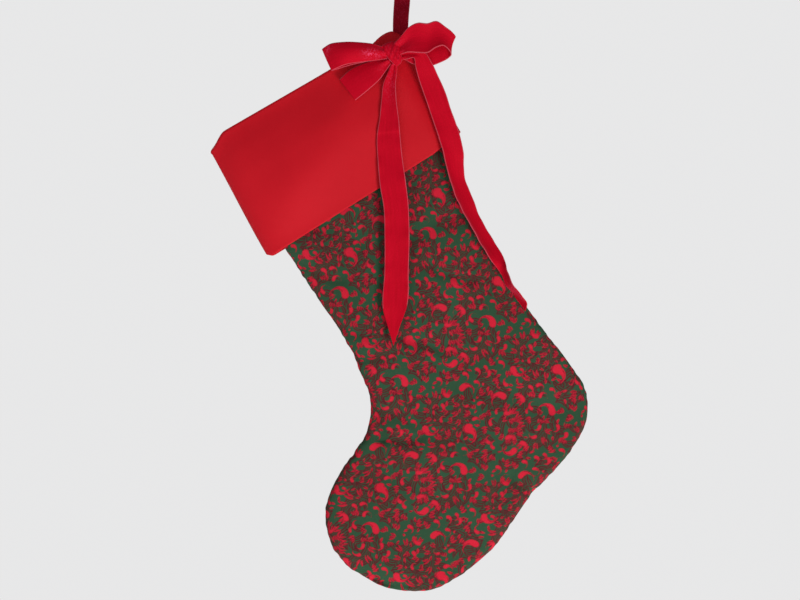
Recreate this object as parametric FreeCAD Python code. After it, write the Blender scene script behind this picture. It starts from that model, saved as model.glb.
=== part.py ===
import FreeCAD, Part
import math
import os

# Hanging stocking: padded cotton leg and foot, lined, with a turned-down cuff, a ribbon hanging loop
# and a ribbon bow. Millimetres. The row frame has its origin at the centre of the hook that the loop
# hangs on, +Z up, and -Y towards the viewer, who has the toe on the left.
#
# The stocking itself is drawn upright, with x = 0 at the heel-side corner of the mouth, x falling
# towards the toe, and z = 0 at the top fold. place() then leans it and hangs it under the hook.

# ---- hanging ------------------------------------------------------------------------------------
hang_tilt = 30.0            # degrees that the leg leans out of plumb
hook_radius = 5.0           # hook that the loop is made for
loop_drop = 66.8            # hook centre down to the mouth's heel-side corner
loop_offset = 2.3           # the corner stands this far towards the toe side of the hook
loop_ribbon_width = 15.5
loop_flex_rise = 6.8        # the loop bends this far above the corner
loop_seam_depth = 20.0      # ends of the loop, caught in the seam below the corner

# ---- leg and foot, in the upright frame ---------------------------------------------------------
mouth_width = 202.0
ankle_front_inset = 16.0    # ankle, in from the mouth's toe-side corner
ankle_front_drop = 298.0
ankle_front_radius = 75.0
ankle_back_inset = 28.5     # narrowest point, in from the mouth's heel-side corner
ankle_back_drop = 262.0
ankle_back_radius = 250.0
heel_inset = 15.0
heel_drop = 403.0
heel_radius = 58.0
foot_reach = 108.0          # tip of the toe, out past the ankle's front
toe_top_drop = 354.0
toe_top_radius = 40.0
toe_sole_drop = 509.0
toe_sole_radius = 83.0
leg_half_depth = 12.5       # half of the padded thickness, front to back
seam_flat = 1.5             # half of the flat left at the side seam, where the padded edge is rounded

# ---- layers -------------------------------------------------------------------------------------
outer_thickness = 0.8
batting_thickness = 3.0
lining_thickness = 0.6
cuff_thickness = 1.2
facing_thickness = 0.8
ribbon_thickness = 1.0

# ---- cuff ---------------------------------------------------------------------------------------
cuff_depth = 118.5
cuff_flare_toe = 8.5        # the cuff stands out past the mouth on the toe side
cuff_flare_heel = 4.5
cuff_gap = 1.0              # air between the leg and the facing
cuff_fold_radius = 9.0      # top corners, where the cuff turns over the mouth
cuff_hem_radius = 8.0       # bottom corners
turn_in = 14.0              # cuff cloth that goes down inside the mouth

# ---- bow ----------------------------------------------------------------------------------------
knot_inset = 17.5           # knot centre, in from the mouth's heel-side corner
knot_drop = 14.0            # knot centre, below the top fold
knot_width = 19.0
knot_height = 23.0
knot_depth = 13.0
knot_rounding = 4.0
bow_ribbon_width = 25.0
bow_stand_off = 1.2         # the ribbons lie this far in front of the cuff
tack_radius = 2.5
tail_flex_gap = 0.6         # the tails bend this far below the knot and the loops
tail_clearance = 0.4        # moving ribbon starts this far from its bend
loop_reach_left = 60.0      # knot centre to the outer fold of each bow loop
loop_reach_right = 61.0
short_tail_length = 41.0
short_tail_angle = 33.0     # degrees below level
centre_tail_length = 261.0
centre_tail_point = 42.0    # length of the pointed end
right_tail_point = 30.0

fold = cuff_thickness + facing_thickness
cuff_half_depth = leg_half_depth + cuff_gap + fold
loop_ribbon = bow_ribbon_width - 1.0    # the ribbon cups a little across its width
lining_inside = outer_thickness + batting_thickness + lining_thickness
mouth_inside = lining_inside + fold
far = 1000.0                # larger than the object, for cutting blocks
crumb = 1.0                 # a boolean's leftovers are smaller than this, in mm3


def vec(x, y, z):
    return FreeCAD.Vector(x, y, z)


def block(x0, x1, y0, y1, z0, z1):
    return Part.makeBox(x1 - x0, y1 - y0, z1 - z0, vec(x0, y0, z0))


def place(shape):
    """Lean a shape from the upright frame and hang it under the hook."""
    moved = shape.copy()
    moved.rotate(vec(0, 0, 0), vec(0, 1, 0), -hang_tilt)
    moved.translate(vec(-loop_offset, 0, -loop_drop))
    return moved


def place_point(x, z):
    """The same move for one point of the upright frame's XZ plane."""
    tilt = math.radians(hang_tilt)
    across = x * math.cos(tilt) - z * math.sin(tilt) - loop_offset
    up = x * math.sin(tilt) + z * math.cos(tilt) - loop_drop
    return across, up


def rounded_face(corners):
    """Face in the XZ plane: straight runs, with each corner (x, z, radius) rounded by a tangent arc."""
    count = len(corners)
    starts = []
    ends = []
    middles = []
    for i in range(count):
        x, z, radius = corners[i]
        here = vec(x, 0, z)
        before = vec(corners[i - 1][0], 0, corners[i - 1][1])
        after = vec(corners[(i + 1) % count][0], 0, corners[(i + 1) % count][1])
        back = (before - here).normalize()
        ahead = (after - here).normalize()
        half_turn = (math.pi - back.getAngle(ahead)) / 2
        tangent = radius * math.tan(half_turn)
        starts.append(here + back * tangent)
        ends.append(here + ahead * tangent)
        inward = (back + ahead).normalize()
        middles.append(here + inward * (radius / math.cos(half_turn) - radius))
    edges = []
    for i in range(count):
        if corners[i][2] > 0:
            edges.append(Part.Arc(starts[i], middles[i], ends[i]).toShape())
        edges.append(Part.LineSegment(ends[i], starts[(i + 1) % count]).toShape())
    return Part.Face(Part.Wire(edges))


def through(face, y0, y1):
    """Extrude a face of the XZ plane from y0 to y1."""
    solid = face.extrude(vec(0, y1 - y0, 0))
    solid.translate(vec(0, y0, 0))
    return solid


def leg_corners():
    ankle_front = -mouth_width + ankle_front_inset
    toe_tip = ankle_front - foot_reach
    above = 40.0            # the outline runs on above the mouth and is cut off there
    return [
        (-mouth_width, above, 0),
        (-mouth_width, 0, 0),
        (ankle_front, -ankle_front_drop, ankle_front_radius),
        (toe_tip, -toe_top_drop, toe_top_radius),
        (toe_tip, -toe_sole_drop, toe_sole_radius),
        (-heel_inset, -heel_drop, heel_radius),
        (-ankle_back_inset, -ankle_back_drop, ankle_back_radius),
        (0, 0, 0),
        (0, above, 0),
    ]


def pillow(inset):
    """The leg and foot as one closed, round-edged shape, this far inside the outer cloth."""
    face = rounded_face(leg_corners())
    if inset > 0:
        face = face.makeOffset2D(-inset)
    half = leg_half_depth - inset
    solid = through(face, -half, half)
    rims = [edge for edge in solid.Edges
            if abs(abs(edge.CenterOfMass.y) - half) < 1e-6]
    return solid.makeFillet(half - seam_flat, rims)


def cuff_block(inset):
    """The cuff as a solid flat tube that runs on below the hem, this far inside its outer cloth."""
    left = -mouth_width - cuff_flare_toe + inset
    right = cuff_flare_heel - inset
    half = cuff_half_depth - inset
    low = -cuff_depth - 20.0
    front_view = rounded_face([
        (left, -inset, cuff_fold_radius - inset),
        (left, low, 0),
        (right, low, 0),
        (right, -inset, cuff_fold_radius - inset),
    ])
    solid = through(front_view, -half, half)
    uprights = block(left + half, right - half, -half, half, low, 0)
    for x in (left + half, right - half):
        uprights = uprights.fuse(Part.makeCylinder(half, -low, vec(x, 0, low)))
    return solid.common(uprights)


def cuff_trim():
    """Everything inside the cuff's front view, with its rounded hem corners."""
    left = -mouth_width - cuff_flare_toe
    return through(rounded_face([
        (left, far, 0),
        (left, -cuff_depth, cuff_hem_radius),
        (cuff_flare_heel, -cuff_depth, cuff_hem_radius),
        (cuff_flare_heel, far, 0),
    ]), -far, far)


def halves(name, shape):
    """Split a layer at the side seams into its front and back panel."""
    front = shape.common(block(-far, far, -far, 0, -far, far))
    back = shape.common(block(-far, far, 0, far, -far, far))
    return {name + "_front": front, name + "_back": back}


def body_layers():
    """Outer cloth, batting and lining, open at the mouth."""
    below_fold = block(-far, far, -far, far, -far, -fold)
    depths = [0, outer_thickness, outer_thickness + batting_thickness, lining_inside]
    shapes = [pillow(depth) for depth in depths]
    nodes = {}
    for i, name in enumerate(["outer", "batting", "lining"]):
        layer = shapes[i].cut(shapes[i + 1]).common(below_fold)
        nodes.update(halves(name, layer))
    return nodes


def cuff_layers():
    """The cuff's outer cloth and facing: down outside the leg, over its edge and into the mouth."""
    inside_mouth = block(-far, far, -far, far, -turn_in, 0)
    trim = cuff_trim()
    facing_inside = lining_inside + facing_thickness
    hole = pillow(mouth_inside)
    facing_hole = pillow(facing_inside)

    cloth = cuff_block(0).cut(cuff_block(cuff_thickness)).common(trim).cut(hole)
    cloth_in = facing_hole.cut(hole).common(inside_mouth)

    facing = cuff_block(cuff_thickness).cut(cuff_block(fold)).common(trim).cut(facing_hole)
    facing_in = pillow(lining_inside).cut(facing_hole).common(
        block(-far, far, -far, far, -turn_in, -cuff_thickness))

    nodes = halves("cuff", cloth.fuse(cloth_in))
    nodes.update(halves("cuff_facing", facing.fuse(facing_in)))
    return nodes


def loop_bend_height():
    return -loop_drop + loop_flex_rise


def teardrop(radius, tip_half, tip_z):
    """Profile in the YZ plane: an arc over the hook, and straight sides that meet the narrow lower end."""
    reach = math.hypot(tip_half, tip_z)
    lean = math.acos(radius / reach) - math.atan2(tip_half, -tip_z)
    y = radius * math.sin(math.pi / 2 - lean + math.pi / 2)
    z = radius * math.cos(math.pi / 2 - lean + math.pi / 2)
    arc = Part.Arc(vec(0, -y, z), vec(0, 0, radius), vec(0, y, z)).toShape()
    edges = [arc, Part.LineSegment(vec(0, y, z), vec(0, tip_half, tip_z)).toShape()]
    if tip_half > 0:
        edges.append(Part.LineSegment(vec(0, tip_half, tip_z), vec(0, -tip_half, tip_z)).toShape())
    edges.append(Part.LineSegment(vec(0, -tip_half, tip_z), vec(0, -y, z)).toShape())
    face = Part.Face(Part.Wire(edges))
    solid = face.extrude(vec(loop_ribbon_width, 0, 0))
    solid.translate(vec(-loop_ribbon_width / 2, 0, 0))
    return solid


def hanging_loop():
    """The ribbon over the hook, down to its bend; its two layers lie together at the lower end."""
    low = loop_bend_height() + tail_clearance
    outside = teardrop(hook_radius + ribbon_thickness, ribbon_thickness, low)
    inside = teardrop(hook_radius, 0, low + 8.0)
    return outside.cut(inside)


def loop_end_slab():
    half = loop_ribbon_width / 2
    return block(-half, half, -ribbon_thickness, ribbon_thickness,
                 -loop_drop - loop_seam_depth, loop_bend_height() - tail_clearance)


def bar_tack():
    """Close zigzag of thread over the loop's ends, as one small pad through the seam."""
    pad_half = loop_ribbon_width / 2 - 2.0
    centre = -loop_drop - loop_seam_depth + 6.0
    return block(-pad_half, pad_half, -ribbon_thickness - 0.6, ribbon_thickness + 0.6,
                 centre - 1.5, centre + 1.5)


def knot_centre():
    return place_point(-knot_inset, -knot_drop)


def bow_face():
    """y of the ribbons' back, just in front of the cuff."""
    return -cuff_half_depth - bow_stand_off


def knot_block(grow=0.0):
    x, z = knot_centre()
    half = knot_width / 2 + grow
    high = knot_height / 2 + grow
    return block(x - half, x + half, bow_face() - knot_depth - grow, bow_face() + grow,
                 z - high, z + high)


def bow_knot():
    body = knot_block()
    front = [edge for edge in body.Edges
             if edge.CenterOfMass.y < bow_face() - knot_rounding]
    return body.makeFillet(knot_rounding, front)


def upright_ribbon(stations):
    """Ribbon that stands on edge: stations (x, y, z, width) from the knot centre, seen from above."""
    x0, z0 = knot_centre()
    face_y = bow_face()
    half = ribbon_thickness / 2
    wires = []
    for i, (x, y, z, width) in enumerate(stations):
        before = stations[max(i - 1, 0)]
        after = stations[min(i + 1, len(stations) - 1)]
        along = vec(after[0] - before[0], after[1] - before[1], 0).normalize()
        across = vec(-along.y, along.x, 0) * half
        middle = vec(x0 + x, face_y + y, z0 + z)
        up = vec(0, 0, width / 2)
        corners = [middle + across - up, middle + across + up,
                   middle - across + up, middle - across - up]
        wires.append(Part.makePolygon(corners + [corners[0]]))
    return Part.makeLoft(wires, True, True)


def bow_loop(side, reach, rise, droop):
    """One bow loop: out along the front, round the outer fold and back behind; side is -1 or +1."""
    front = -0.95 * knot_depth
    back = -2.0
    fold_y = (front + back) / 2
    stations = [
        (side * 6.0, front * 0.62, 0.15 * rise, 0.55 * loop_ribbon),
        (side * 0.36 * reach, front * 1.12, 0.6 * rise, 0.85 * loop_ribbon),
        (side * 0.66 * reach, front * 1.30, rise, loop_ribbon),
        (side * 0.88 * reach, front * 1.10, rise, loop_ribbon),
        (side * 0.98 * reach, front * 0.75, 0.8 * rise + droop, loop_ribbon),
        (side * reach, fold_y * 0.85, 0.7 * rise + droop, loop_ribbon),
        (side * 0.97 * reach, back * 1.35, 0.6 * rise + droop, loop_ribbon),
        (side * 0.85 * reach, back, 0.5 * rise + droop, loop_ribbon),
        (side * 0.45 * reach, back, 0.4 * rise + 0.6 * droop, 0.8 * loop_ribbon),
        (side * 6.0, back * 1.4, 0.15 * rise, 0.5 * loop_ribbon),
    ]
    return upright_ribbon(stations).cut(knot_block())


def flat_ribbon(outline):
    """Flat ribbon piece that lies in front of the cuff; outline points are from the knot centre."""
    x0, z0 = knot_centre()
    points = [vec(x0 + x, 0, z0 + z) for x, z in outline]
    face = Part.Face(Part.makePolygon(points + [points[0]]))
    return through(face, bow_face() - ribbon_thickness, bow_face())


def short_tail():
    """Straight-cut end that points down towards the toe side."""
    angle = math.radians(short_tail_angle)
    along = (-math.cos(angle), -math.sin(angle))
    across = (-math.sin(angle), math.cos(angle))
    root = (-8.0, -8.0)
    outline = []
    for distance, half in ((0, 6.0), (20.0, 10.0), (short_tail_length, bow_ribbon_width / 2)):
        outline.append((distance, half))
    for distance, half in ((short_tail_length, bow_ribbon_width / 2), (20.0, 10.0), (0, 6.0)):
        outline.append((distance, -half))
    points = [(root[0] + along[0] * d + across[0] * h, root[1] + along[1] * d + across[1] * h)
              for d, h in outline]
    return flat_ribbon(points).cut(knot_block())


def tail_top():
    """Top of the moving tails, below both the knot and the right loop."""
    underside = max(knot_height / 2, loop_ribbon / 2 - 0.5)
    return -underside - tail_flex_gap - tail_clearance


def tail_outline(stations, tip):
    """Strip outline from stations (x, z, width) down the middle, ending in a point."""
    left = [(x - width / 2, z) for x, z, width in stations]
    right = [(x + width / 2, z) for x, z, width in stations]
    return left + [tip] + right[::-1]


def centre_tail():
    """Long tail that hangs plumb from the knot over the cuff and the leg."""
    top = tail_top()
    end = top - centre_tail_length
    stations = [
        (4.0, top, 7.0),
        (1.0, top - 26.0, 15.0),
        (0.0, top - 50.0, 20.0),
        (2.5, top - 100.0, loop_ribbon),
        (5.0, top - 160.0, loop_ribbon),
        (4.0, end + centre_tail_point, loop_ribbon),
    ]
    return flat_ribbon(tail_outline(stations, (2.5, end)))


def right_tail():
    """Long tail that goes out under the right loop and down the heel-side edge of the leg."""
    top = tail_top()
    stations = [
        (23.0, top, 27.0),
        (37.0, top - 16.0, 20.0),
        (48.0, top - 43.0, 21.0),
        (58.0, top - 72.0, 20.0),
        (63.5, top - 104.0, 16.0),
        (78.0, top - 146.0, 16.0),
        (104.0, top - 191.0, 13.0),
    ]
    last_x, last_z, _ = stations[-1]
    tip = (last_x + 0.87 * right_tail_point, last_z - 1.2 * right_tail_point)
    return flat_ribbon(tail_outline(stations, tip))


def bow_tack():
    """Thread that holds the knot to the cuff."""
    x, z = knot_centre()
    return Part.makeCylinder(tack_radius, bow_stand_off, vec(x, bow_face(), z), vec(0, 1, 0))


def build():
    tack = bar_tack()
    seam_slot = loop_end_slab().fuse(tack)
    nodes = {}
    for name, shape in {**body_layers(), **cuff_layers()}.items():
        nodes[name] = place(shape).cut(seam_slot)
    nodes["hanging_loop"] = hanging_loop()
    nodes["loop_sewn_end"] = loop_end_slab().cut(tack)
    nodes["loop_bar_tack"] = tack
    nodes["bow_knot"] = bow_knot()
    nodes["bow_loop_left"] = bow_loop(-1, loop_reach_left, -1.0, -4.0)
    nodes["bow_loop_right"] = bow_loop(1, loop_reach_right, 9.0, -4.0)
    nodes["bow_short_tail"] = short_tail()
    nodes["bow_tail_centre"] = centre_tail()
    nodes["bow_tail_right"] = right_tail()
    nodes["bow_tack"] = bow_tack()
    return nodes


def main():
    os.makedirs("parts", exist_ok=True)
    for name, shape in build().items():
        solids = [solid for solid in shape.Solids if solid.Volume > crumb]
        if not solids or not shape.isValid():
            raise ValueError(name + " is not a valid solid")
        whole = solids[0] if len(solids) == 1 else Part.makeCompound(solids)
        whole.exportStep("parts/" + name + ".step")
        box = whole.BoundBox
        print("%-20s %2d solid %9.0f mm3  x %7.1f %7.1f  y %6.1f %6.1f  z %7.1f %7.1f" % (
            name, len(solids), whole.Volume,
            box.XMin, box.XMax, box.YMin, box.YMax, box.ZMin, box.ZMax))


main()
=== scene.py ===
# %% [markdown]
# # A hanging stocking
# This lesson dresses a working frame of a stocking in cloth: a padded leg and foot of printed cotton,
# a turned-down red cuff, a velvet hanging loop and a velvet bow with long tails. The frame holds the
# sizes and the hinges. Blender adds what the hand and the eye look for: seams, puckers, nap and print.

# %% Load the frame
import bmesh
import bpy
import numpy as np
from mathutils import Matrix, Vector


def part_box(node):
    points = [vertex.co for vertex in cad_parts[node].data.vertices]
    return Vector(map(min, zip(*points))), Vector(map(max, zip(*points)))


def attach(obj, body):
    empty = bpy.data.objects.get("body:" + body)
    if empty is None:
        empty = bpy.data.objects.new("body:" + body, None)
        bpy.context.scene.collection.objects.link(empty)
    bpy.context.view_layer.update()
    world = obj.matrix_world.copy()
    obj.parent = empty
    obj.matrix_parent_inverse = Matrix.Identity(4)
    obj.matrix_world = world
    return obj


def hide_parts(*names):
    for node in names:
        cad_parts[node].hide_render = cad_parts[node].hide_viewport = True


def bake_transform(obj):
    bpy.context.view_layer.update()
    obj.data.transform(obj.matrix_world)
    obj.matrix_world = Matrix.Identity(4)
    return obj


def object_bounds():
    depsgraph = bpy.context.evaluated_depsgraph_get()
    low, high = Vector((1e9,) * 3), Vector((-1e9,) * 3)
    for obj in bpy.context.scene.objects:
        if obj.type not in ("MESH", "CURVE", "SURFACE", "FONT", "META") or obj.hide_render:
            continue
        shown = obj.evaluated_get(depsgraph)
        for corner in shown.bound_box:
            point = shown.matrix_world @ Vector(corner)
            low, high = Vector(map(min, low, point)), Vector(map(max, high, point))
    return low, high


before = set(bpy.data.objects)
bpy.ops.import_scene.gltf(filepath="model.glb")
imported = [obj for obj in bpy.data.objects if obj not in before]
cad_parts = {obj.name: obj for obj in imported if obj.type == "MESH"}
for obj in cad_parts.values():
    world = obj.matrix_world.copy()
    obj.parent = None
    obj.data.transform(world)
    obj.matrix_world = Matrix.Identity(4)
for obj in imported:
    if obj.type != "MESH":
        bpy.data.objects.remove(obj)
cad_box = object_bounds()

mm = 0.001
scene = bpy.context.scene

# %% [markdown]
# ## Camera and room
# The camera stands level with the middle of the stocking and looks straight at its front. A long lens
# keeps the foot and the cuff at one scale. A soft window light comes from low on the right, and two
# fills keep the shadows open. The world could light the cloth alone, but then the folds would vanish,
# so it is an even pale grey to the eye and gives less light than it shows.

# %% Camera
view_width = 0.752
lens, sensor = 85.0, 36.0
low, high = (np.array(corner) for corner in cad_box)
aim_beside_middle = np.array([3.5, 0.0, -24.8]) * mm
aim = (low + high) / 2 + aim_beside_middle
front_of_leg = -0.012
camera = bpy.data.objects.new("camera", bpy.data.cameras.new("camera"))
camera.data.lens = lens
camera.data.sensor_width = sensor
camera.location = (aim[0], front_of_leg - view_width * lens / sensor, aim[2])
camera.rotation_euler = (np.pi / 2, 0.0, 0.0)
scene.collection.objects.link(camera)
scene.camera = camera
print("camera at", [round(c, 3) for c in camera.location])

# %% Light
def area_light(name, place, target, size, power, colour=(1.0, 1.0, 1.0)):
    """A soft square of light at place that faces target."""
    data = bpy.data.lights.new(name, "AREA")
    data.shape = "RECTANGLE"
    data.size, data.size_y = size
    data.energy = power
    data.color = colour
    light = bpy.data.objects.new(name, data)
    light.location = place
    direction = Vector(target) - Vector(place)
    light.rotation_euler = direction.to_track_quat("-Z", "Y").to_euler()
    scene.collection.objects.link(light)


area_light("window", (0.95, -1.35, -1.30), (0.0, 0.0, -0.28), (0.6, 0.6), 23.0, (1.0, 0.99, 0.97))
area_light("left_fill", (-1.2, -1.6, -0.3), (0.0, 0.0, -0.30), (1.4, 1.4), 4.0)
area_light("back_fill", (-0.9, 1.8, 0.1), (0.0, 0.0, -0.30), (1.2, 1.2), 14.0)
world_gives, world_shows = 0.27, 0.82
scene.world = bpy.data.worlds.new("room")
scene.world.use_nodes = True
room = scene.world.node_tree
background = room.nodes["Background"]
background.inputs["Color"].default_value = (0.98, 0.98, 0.985, 1.0)
seen = room.nodes.new("ShaderNodeMapRange")
seen.inputs["To Min"].default_value = world_gives
seen.inputs["To Max"].default_value = world_shows
rays = room.nodes.new("ShaderNodeLightPath")
room.links.new(rays.outputs["Is Camera Ray"], seen.inputs["Value"])
room.links.new(seen.outputs["Result"], background.inputs["Strength"])
scene.view_settings.view_transform = "Standard"

# %% [markdown]
# ## Grids
# Every cloth here is a surface worked out as a whole array: rows run along the cloth and columns run
# across it. Cloth could be modelled by pulling at a mesh, but a grid keeps the flat cloth's own
# coordinates for weave and print, and every fold stays a formula. Two small tools do most of the
# drawing. One carries a smooth path through a few given stations, and the other puts finer points
# between the points of a grid.

# %% Smooth paths and finer grids
def smooth_path(stations, count):
    """A path through stations, as cubic pieces.

    Each piece leaves and enters its stations with the slope that their neighbours give, and time runs
    with the straight distance between stations. Gives count points at even times."""
    stations = np.asarray(stations, float)
    flat = stations.reshape(len(stations), -1)
    steps = np.linalg.norm(np.diff(flat, axis=0), axis=1)
    time = np.concatenate([[0.0], np.cumsum(steps)])
    slope = np.gradient(flat, time, axis=0)
    t = np.linspace(0.0, time[-1], count)
    i = np.clip(np.searchsorted(time, t, side="right") - 1, 0, len(time) - 2)
    h = (time[i + 1] - time[i])[:, None]
    u = (t[:, None] - time[i][:, None]) / h
    path = (1 + 2 * u) * (1 - u) ** 2 * flat[i] + u * (1 - u) ** 2 * h * slope[i]
    path += u * u * (3 - 2 * u) * flat[i + 1] + u * u * (u - 1) * h * slope[i + 1]
    return path.reshape((count,) + stations.shape[1:])


def refine(points, times, axis, closed=False):
    """Puts times points where there was one, on the cubic that four neighbours set (Catmull-Rom)."""
    p = np.moveaxis(points, axis, 0)
    n = len(p)
    count = n * times if closed else (n - 1) * times + 1
    t = np.arange(count) / times
    i = np.minimum(t.astype(int), n - 1 if closed else n - 2)
    u = (t - i).reshape((-1,) + (1,) * (p.ndim - 1))
    before = p[-1:] if closed else 2 * p[:1] - p[1:2]
    after = p[:2] if closed else 2 * p[-1:] - p[-2:-1]
    wide = np.concatenate([before, p, after])
    a, b, c, d = wide[i], wide[i + 1], wide[i + 2], wide[i + 3]
    fine = b + 0.5 * u * (c - a + u * (2 * a - 5 * b + 4 * c - d + u * (3 * (b - c) + d - a)))
    return np.moveaxis(fine, 0, axis)


def smooth_step(x):
    """0 below 0, 1 above 1, and an even S between."""
    x = np.clip(x, 0.0, 1.0)
    return x * x * (3 - 2 * x)


def ripple(along, periods, seed):
    """A sum of sines of uneven periods, each with its own start, scaled to about -1 to 1."""
    starts = np.random.default_rng(seed).uniform(0, 2 * np.pi, len(periods))
    waves = [np.sin(2 * np.pi * along / p + s) for p, s in zip(periods, starts)]
    return sum(waves) / len(periods) ** 0.5


# %% Meshes from grids
def grid_mesh(name, points, flat=None, turned=False):
    """A mesh of the four-sided faces between the points of a (rows, columns, 3) grid, in metres.

    flat holds the cloth's flat coordinates for each point, which become its UV map. turned flips the
    faces. Points that fall together, as at the tip of a foot, stay apart until weld joins them."""
    rows, columns = points.shape[:2]
    index = np.arange(rows * columns).reshape(rows, columns)
    quads = np.stack([index[:-1, :-1], index[:-1, 1:], index[1:, 1:], index[1:, :-1]], -1).reshape(-1, 4)
    if turned:
        quads = quads[:, ::-1]
    mesh = bpy.data.meshes.new(name)
    mesh.vertices.add(rows * columns)
    mesh.vertices.foreach_set("co", points.reshape(-1).astype(np.float32))
    mesh.loops.add(quads.size)
    mesh.loops.foreach_set("vertex_index", quads.reshape(-1).astype(np.int32))
    mesh.polygons.add(len(quads))
    mesh.polygons.foreach_set("loop_start", np.arange(0, quads.size, 4, dtype=np.int32))
    mesh.update(calc_edges=True)
    mesh.polygons.foreach_set("use_smooth", np.ones(len(quads), bool))
    if flat is not None:
        layer = mesh.uv_layers.new(name="cloth")
        layer.data.foreach_set("uv", flat.reshape(-1, 2)[quads.reshape(-1)].reshape(-1).astype(np.float32))
    return mesh


def link_piece(name, mesh):
    """Puts a mesh in the scene, at the origin."""
    piece = bpy.data.objects.new(name, mesh)
    scene.collection.objects.link(piece)
    return piece


def weld(mesh, reach=1e-6, outward=False):
    """Joins points that lie together and drops the faces that they close. outward turns the faces of a
    closed shape out."""
    work = bmesh.new()
    work.from_mesh(mesh)
    bmesh.ops.remove_doubles(work, verts=work.verts, dist=reach)
    if outward:
        bmesh.ops.recalc_face_normals(work, faces=work.faces)
    work.to_mesh(mesh)
    work.free()


def keep_shape(piece):
    """Turns a piece's live modifiers into plain mesh."""
    bpy.context.view_layer.update()
    shaped = piece.evaluated_get(bpy.context.evaluated_depsgraph_get())
    mesh = bpy.data.meshes.new_from_object(shaped)
    piece.modifiers.clear()
    piece.data = mesh
    return piece


def thicken(piece, thickness, offset=0.0):
    """Gives a single sheet its thickness. offset 0 keeps it on the middle of the cloth, -1 grows inward."""
    wall = piece.modifiers.new("thickness", "SOLIDIFY")
    wall.thickness = thickness
    wall.offset = offset
    wall.use_even_offset = False
    return keep_shape(piece)


def report(piece):
    """Prints a piece's faces and size, and hands the piece on."""
    co = np.array([v.co for v in piece.data.vertices])
    size = (co.max(0) - co.min(0)) / mm
    print(piece.name, len(piece.data.polygons), "faces,", size.round(1), "mm")
    return piece


# %% [markdown]
# ## Floor
# The stocking hangs free, so the floor lies well below it and only catches the eye in low views. A
# sweep of paper behind the stocking would hide it from the back, so the floor is a plain round disc.

# %% Floor
def plain_material(name, colour, roughness, glow=0.0):
    material = bpy.data.materials.new(name)
    material.use_nodes = True
    shader = material.node_tree.nodes["Principled BSDF"]
    shader.inputs["Base Color"].default_value = (*colour, 1.0)
    shader.inputs["Roughness"].default_value = roughness
    shader.inputs["Emission Color"].default_value = (*colour, 1.0)
    shader.inputs["Emission Strength"].default_value = glow
    return material


floor_drop, floor_radius = 1.25, 3.3
floor_turn, floor_reach = np.meshgrid(np.linspace(0, 2 * np.pi, 97), np.linspace(0.0, floor_radius, 5))
floor_level = np.full_like(floor_turn, low[2] - floor_drop)
floor_points = np.stack([floor_reach * np.cos(floor_turn), floor_reach * np.sin(floor_turn), floor_level], -1)
floor = link_piece("floor", grid_mesh("floor", floor_points))
weld(floor.data)
floor.data.materials.append(plain_material("pale_paper", (0.90, 0.90, 0.90), 0.9, 0.40))
print("floor", floor_drop, "m below the toe, radius", floor_radius, "m")

# %% [markdown]
# ## The lean of the stocking
# The pattern is cut upright, with x = 0 at the heel-side corner of the mouth and the toe to the left.
# Hung by its loop from that corner, the stocking leans thirty degrees. One function does that for
# every piece, so the shapes below can be set in the upright millimetres that a pattern cutter uses.

# %% Hang an upright shape
tilt = np.radians(30.0)
corner = (-2.3, -66.8)


def hang(across, depth, up):
    """Turns upright millimetres by the tilt about the mouth's corner and hangs them, in metres."""
    x = across * np.cos(tilt) - up * np.sin(tilt) + corner[0]
    z = across * np.sin(tilt) + up * np.cos(tilt) + corner[1]
    return np.stack([x, depth, z], -1) * mm


print("a point 100 mm down the seam hangs at", (hang(0.0, 0.0, -100.0) / mm).round(1))


# %% [markdown]
# ## Leg and foot
# The real leg is two flat panels sewn round their edge, turned, and filled out by soft batting. Ribs
# laid across the panel, from the toe-side edge to the heel-side edge, carry its outline: straight down
# the leg, then fanning round the foot to a last point at the toe. The foot's ribs get a little ease,
# because the padding draws their ends in. Each rib is swollen into a flat middle and two rounded ends.
# A short cloth simulation then lets air pressure find the soft folds.

# %% Ribs of the pattern
leg_ribs = [
    [(-202.2, -13), (-1.7, -13)], [(-199, -60), (-8, -60)], [(-195, -120), (-14.5, -120)],
    [(-191.5, -180), (-22.5, -185)], [(-187.5, -235), (-28.5, -250)], [(-190, -258), (-25, -305)],
    [(-194, -282), (-19.5, -345)], [(-203, -299), (-18.5, -378)], [(-216, -313), (-31, -402)],
    [(-232, -321), (-53.5, -418)], [(-248, -328.5), (-80.5, -429)], [(-263, -337), (-109.5, -438)],
    [(-275, -346), (-137, -451)], [(-285, -357), (-160, -462)], [(-291.5, -371), (-189.5, -469)],
    [(-295.5, -388), (-208.5, -471)], [(-294.5, -402), (-233.5, -470)],
    [(-291.5, -414), (-250, -463)], [(-286, -425), (-265, -453)], [(-277.5, -440.5), (-277.5, -440.5)],
]
leg_rows, leg_columns = 97, 40
leg_depth = 12.0
edge_rounding = 23.0
ribs = smooth_path(leg_ribs, leg_rows)
rib_vector = ribs[:, 1] - ribs[:, 0]
rib_length = np.linalg.norm(rib_vector, axis=1)
rib_way = rib_vector / np.maximum(rib_length, 1e-9)[:, None]
ease = smooth_step((-190.0 - ribs[:, :, 1].mean(1)) / 80.0) * smooth_step(rib_length / 60.0)
heel_ease = (0.8 + 0.4 * ease + 2.3 * ease * smooth_step((ribs[:, 1, 1] + 455.0) / 50.0)) * ease
ribs[:, 0] -= rib_way * (1.9 * ease)[:, None]
ribs[:, 1] += rib_way * heel_ease[:, None]
rib_middle = ribs.mean(1)
rib_vector = ribs[:, 1] - ribs[:, 0]
rib_half = np.linalg.norm(rib_vector, axis=1) / 2
rib_vector[-1] = rib_vector[-2]
rib_way = rib_vector / np.linalg.norm(rib_vector, axis=1)[:, None]
print("leg", leg_rows, "rows, widest", round(2 * rib_half.max(), 1), "mm")


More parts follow.
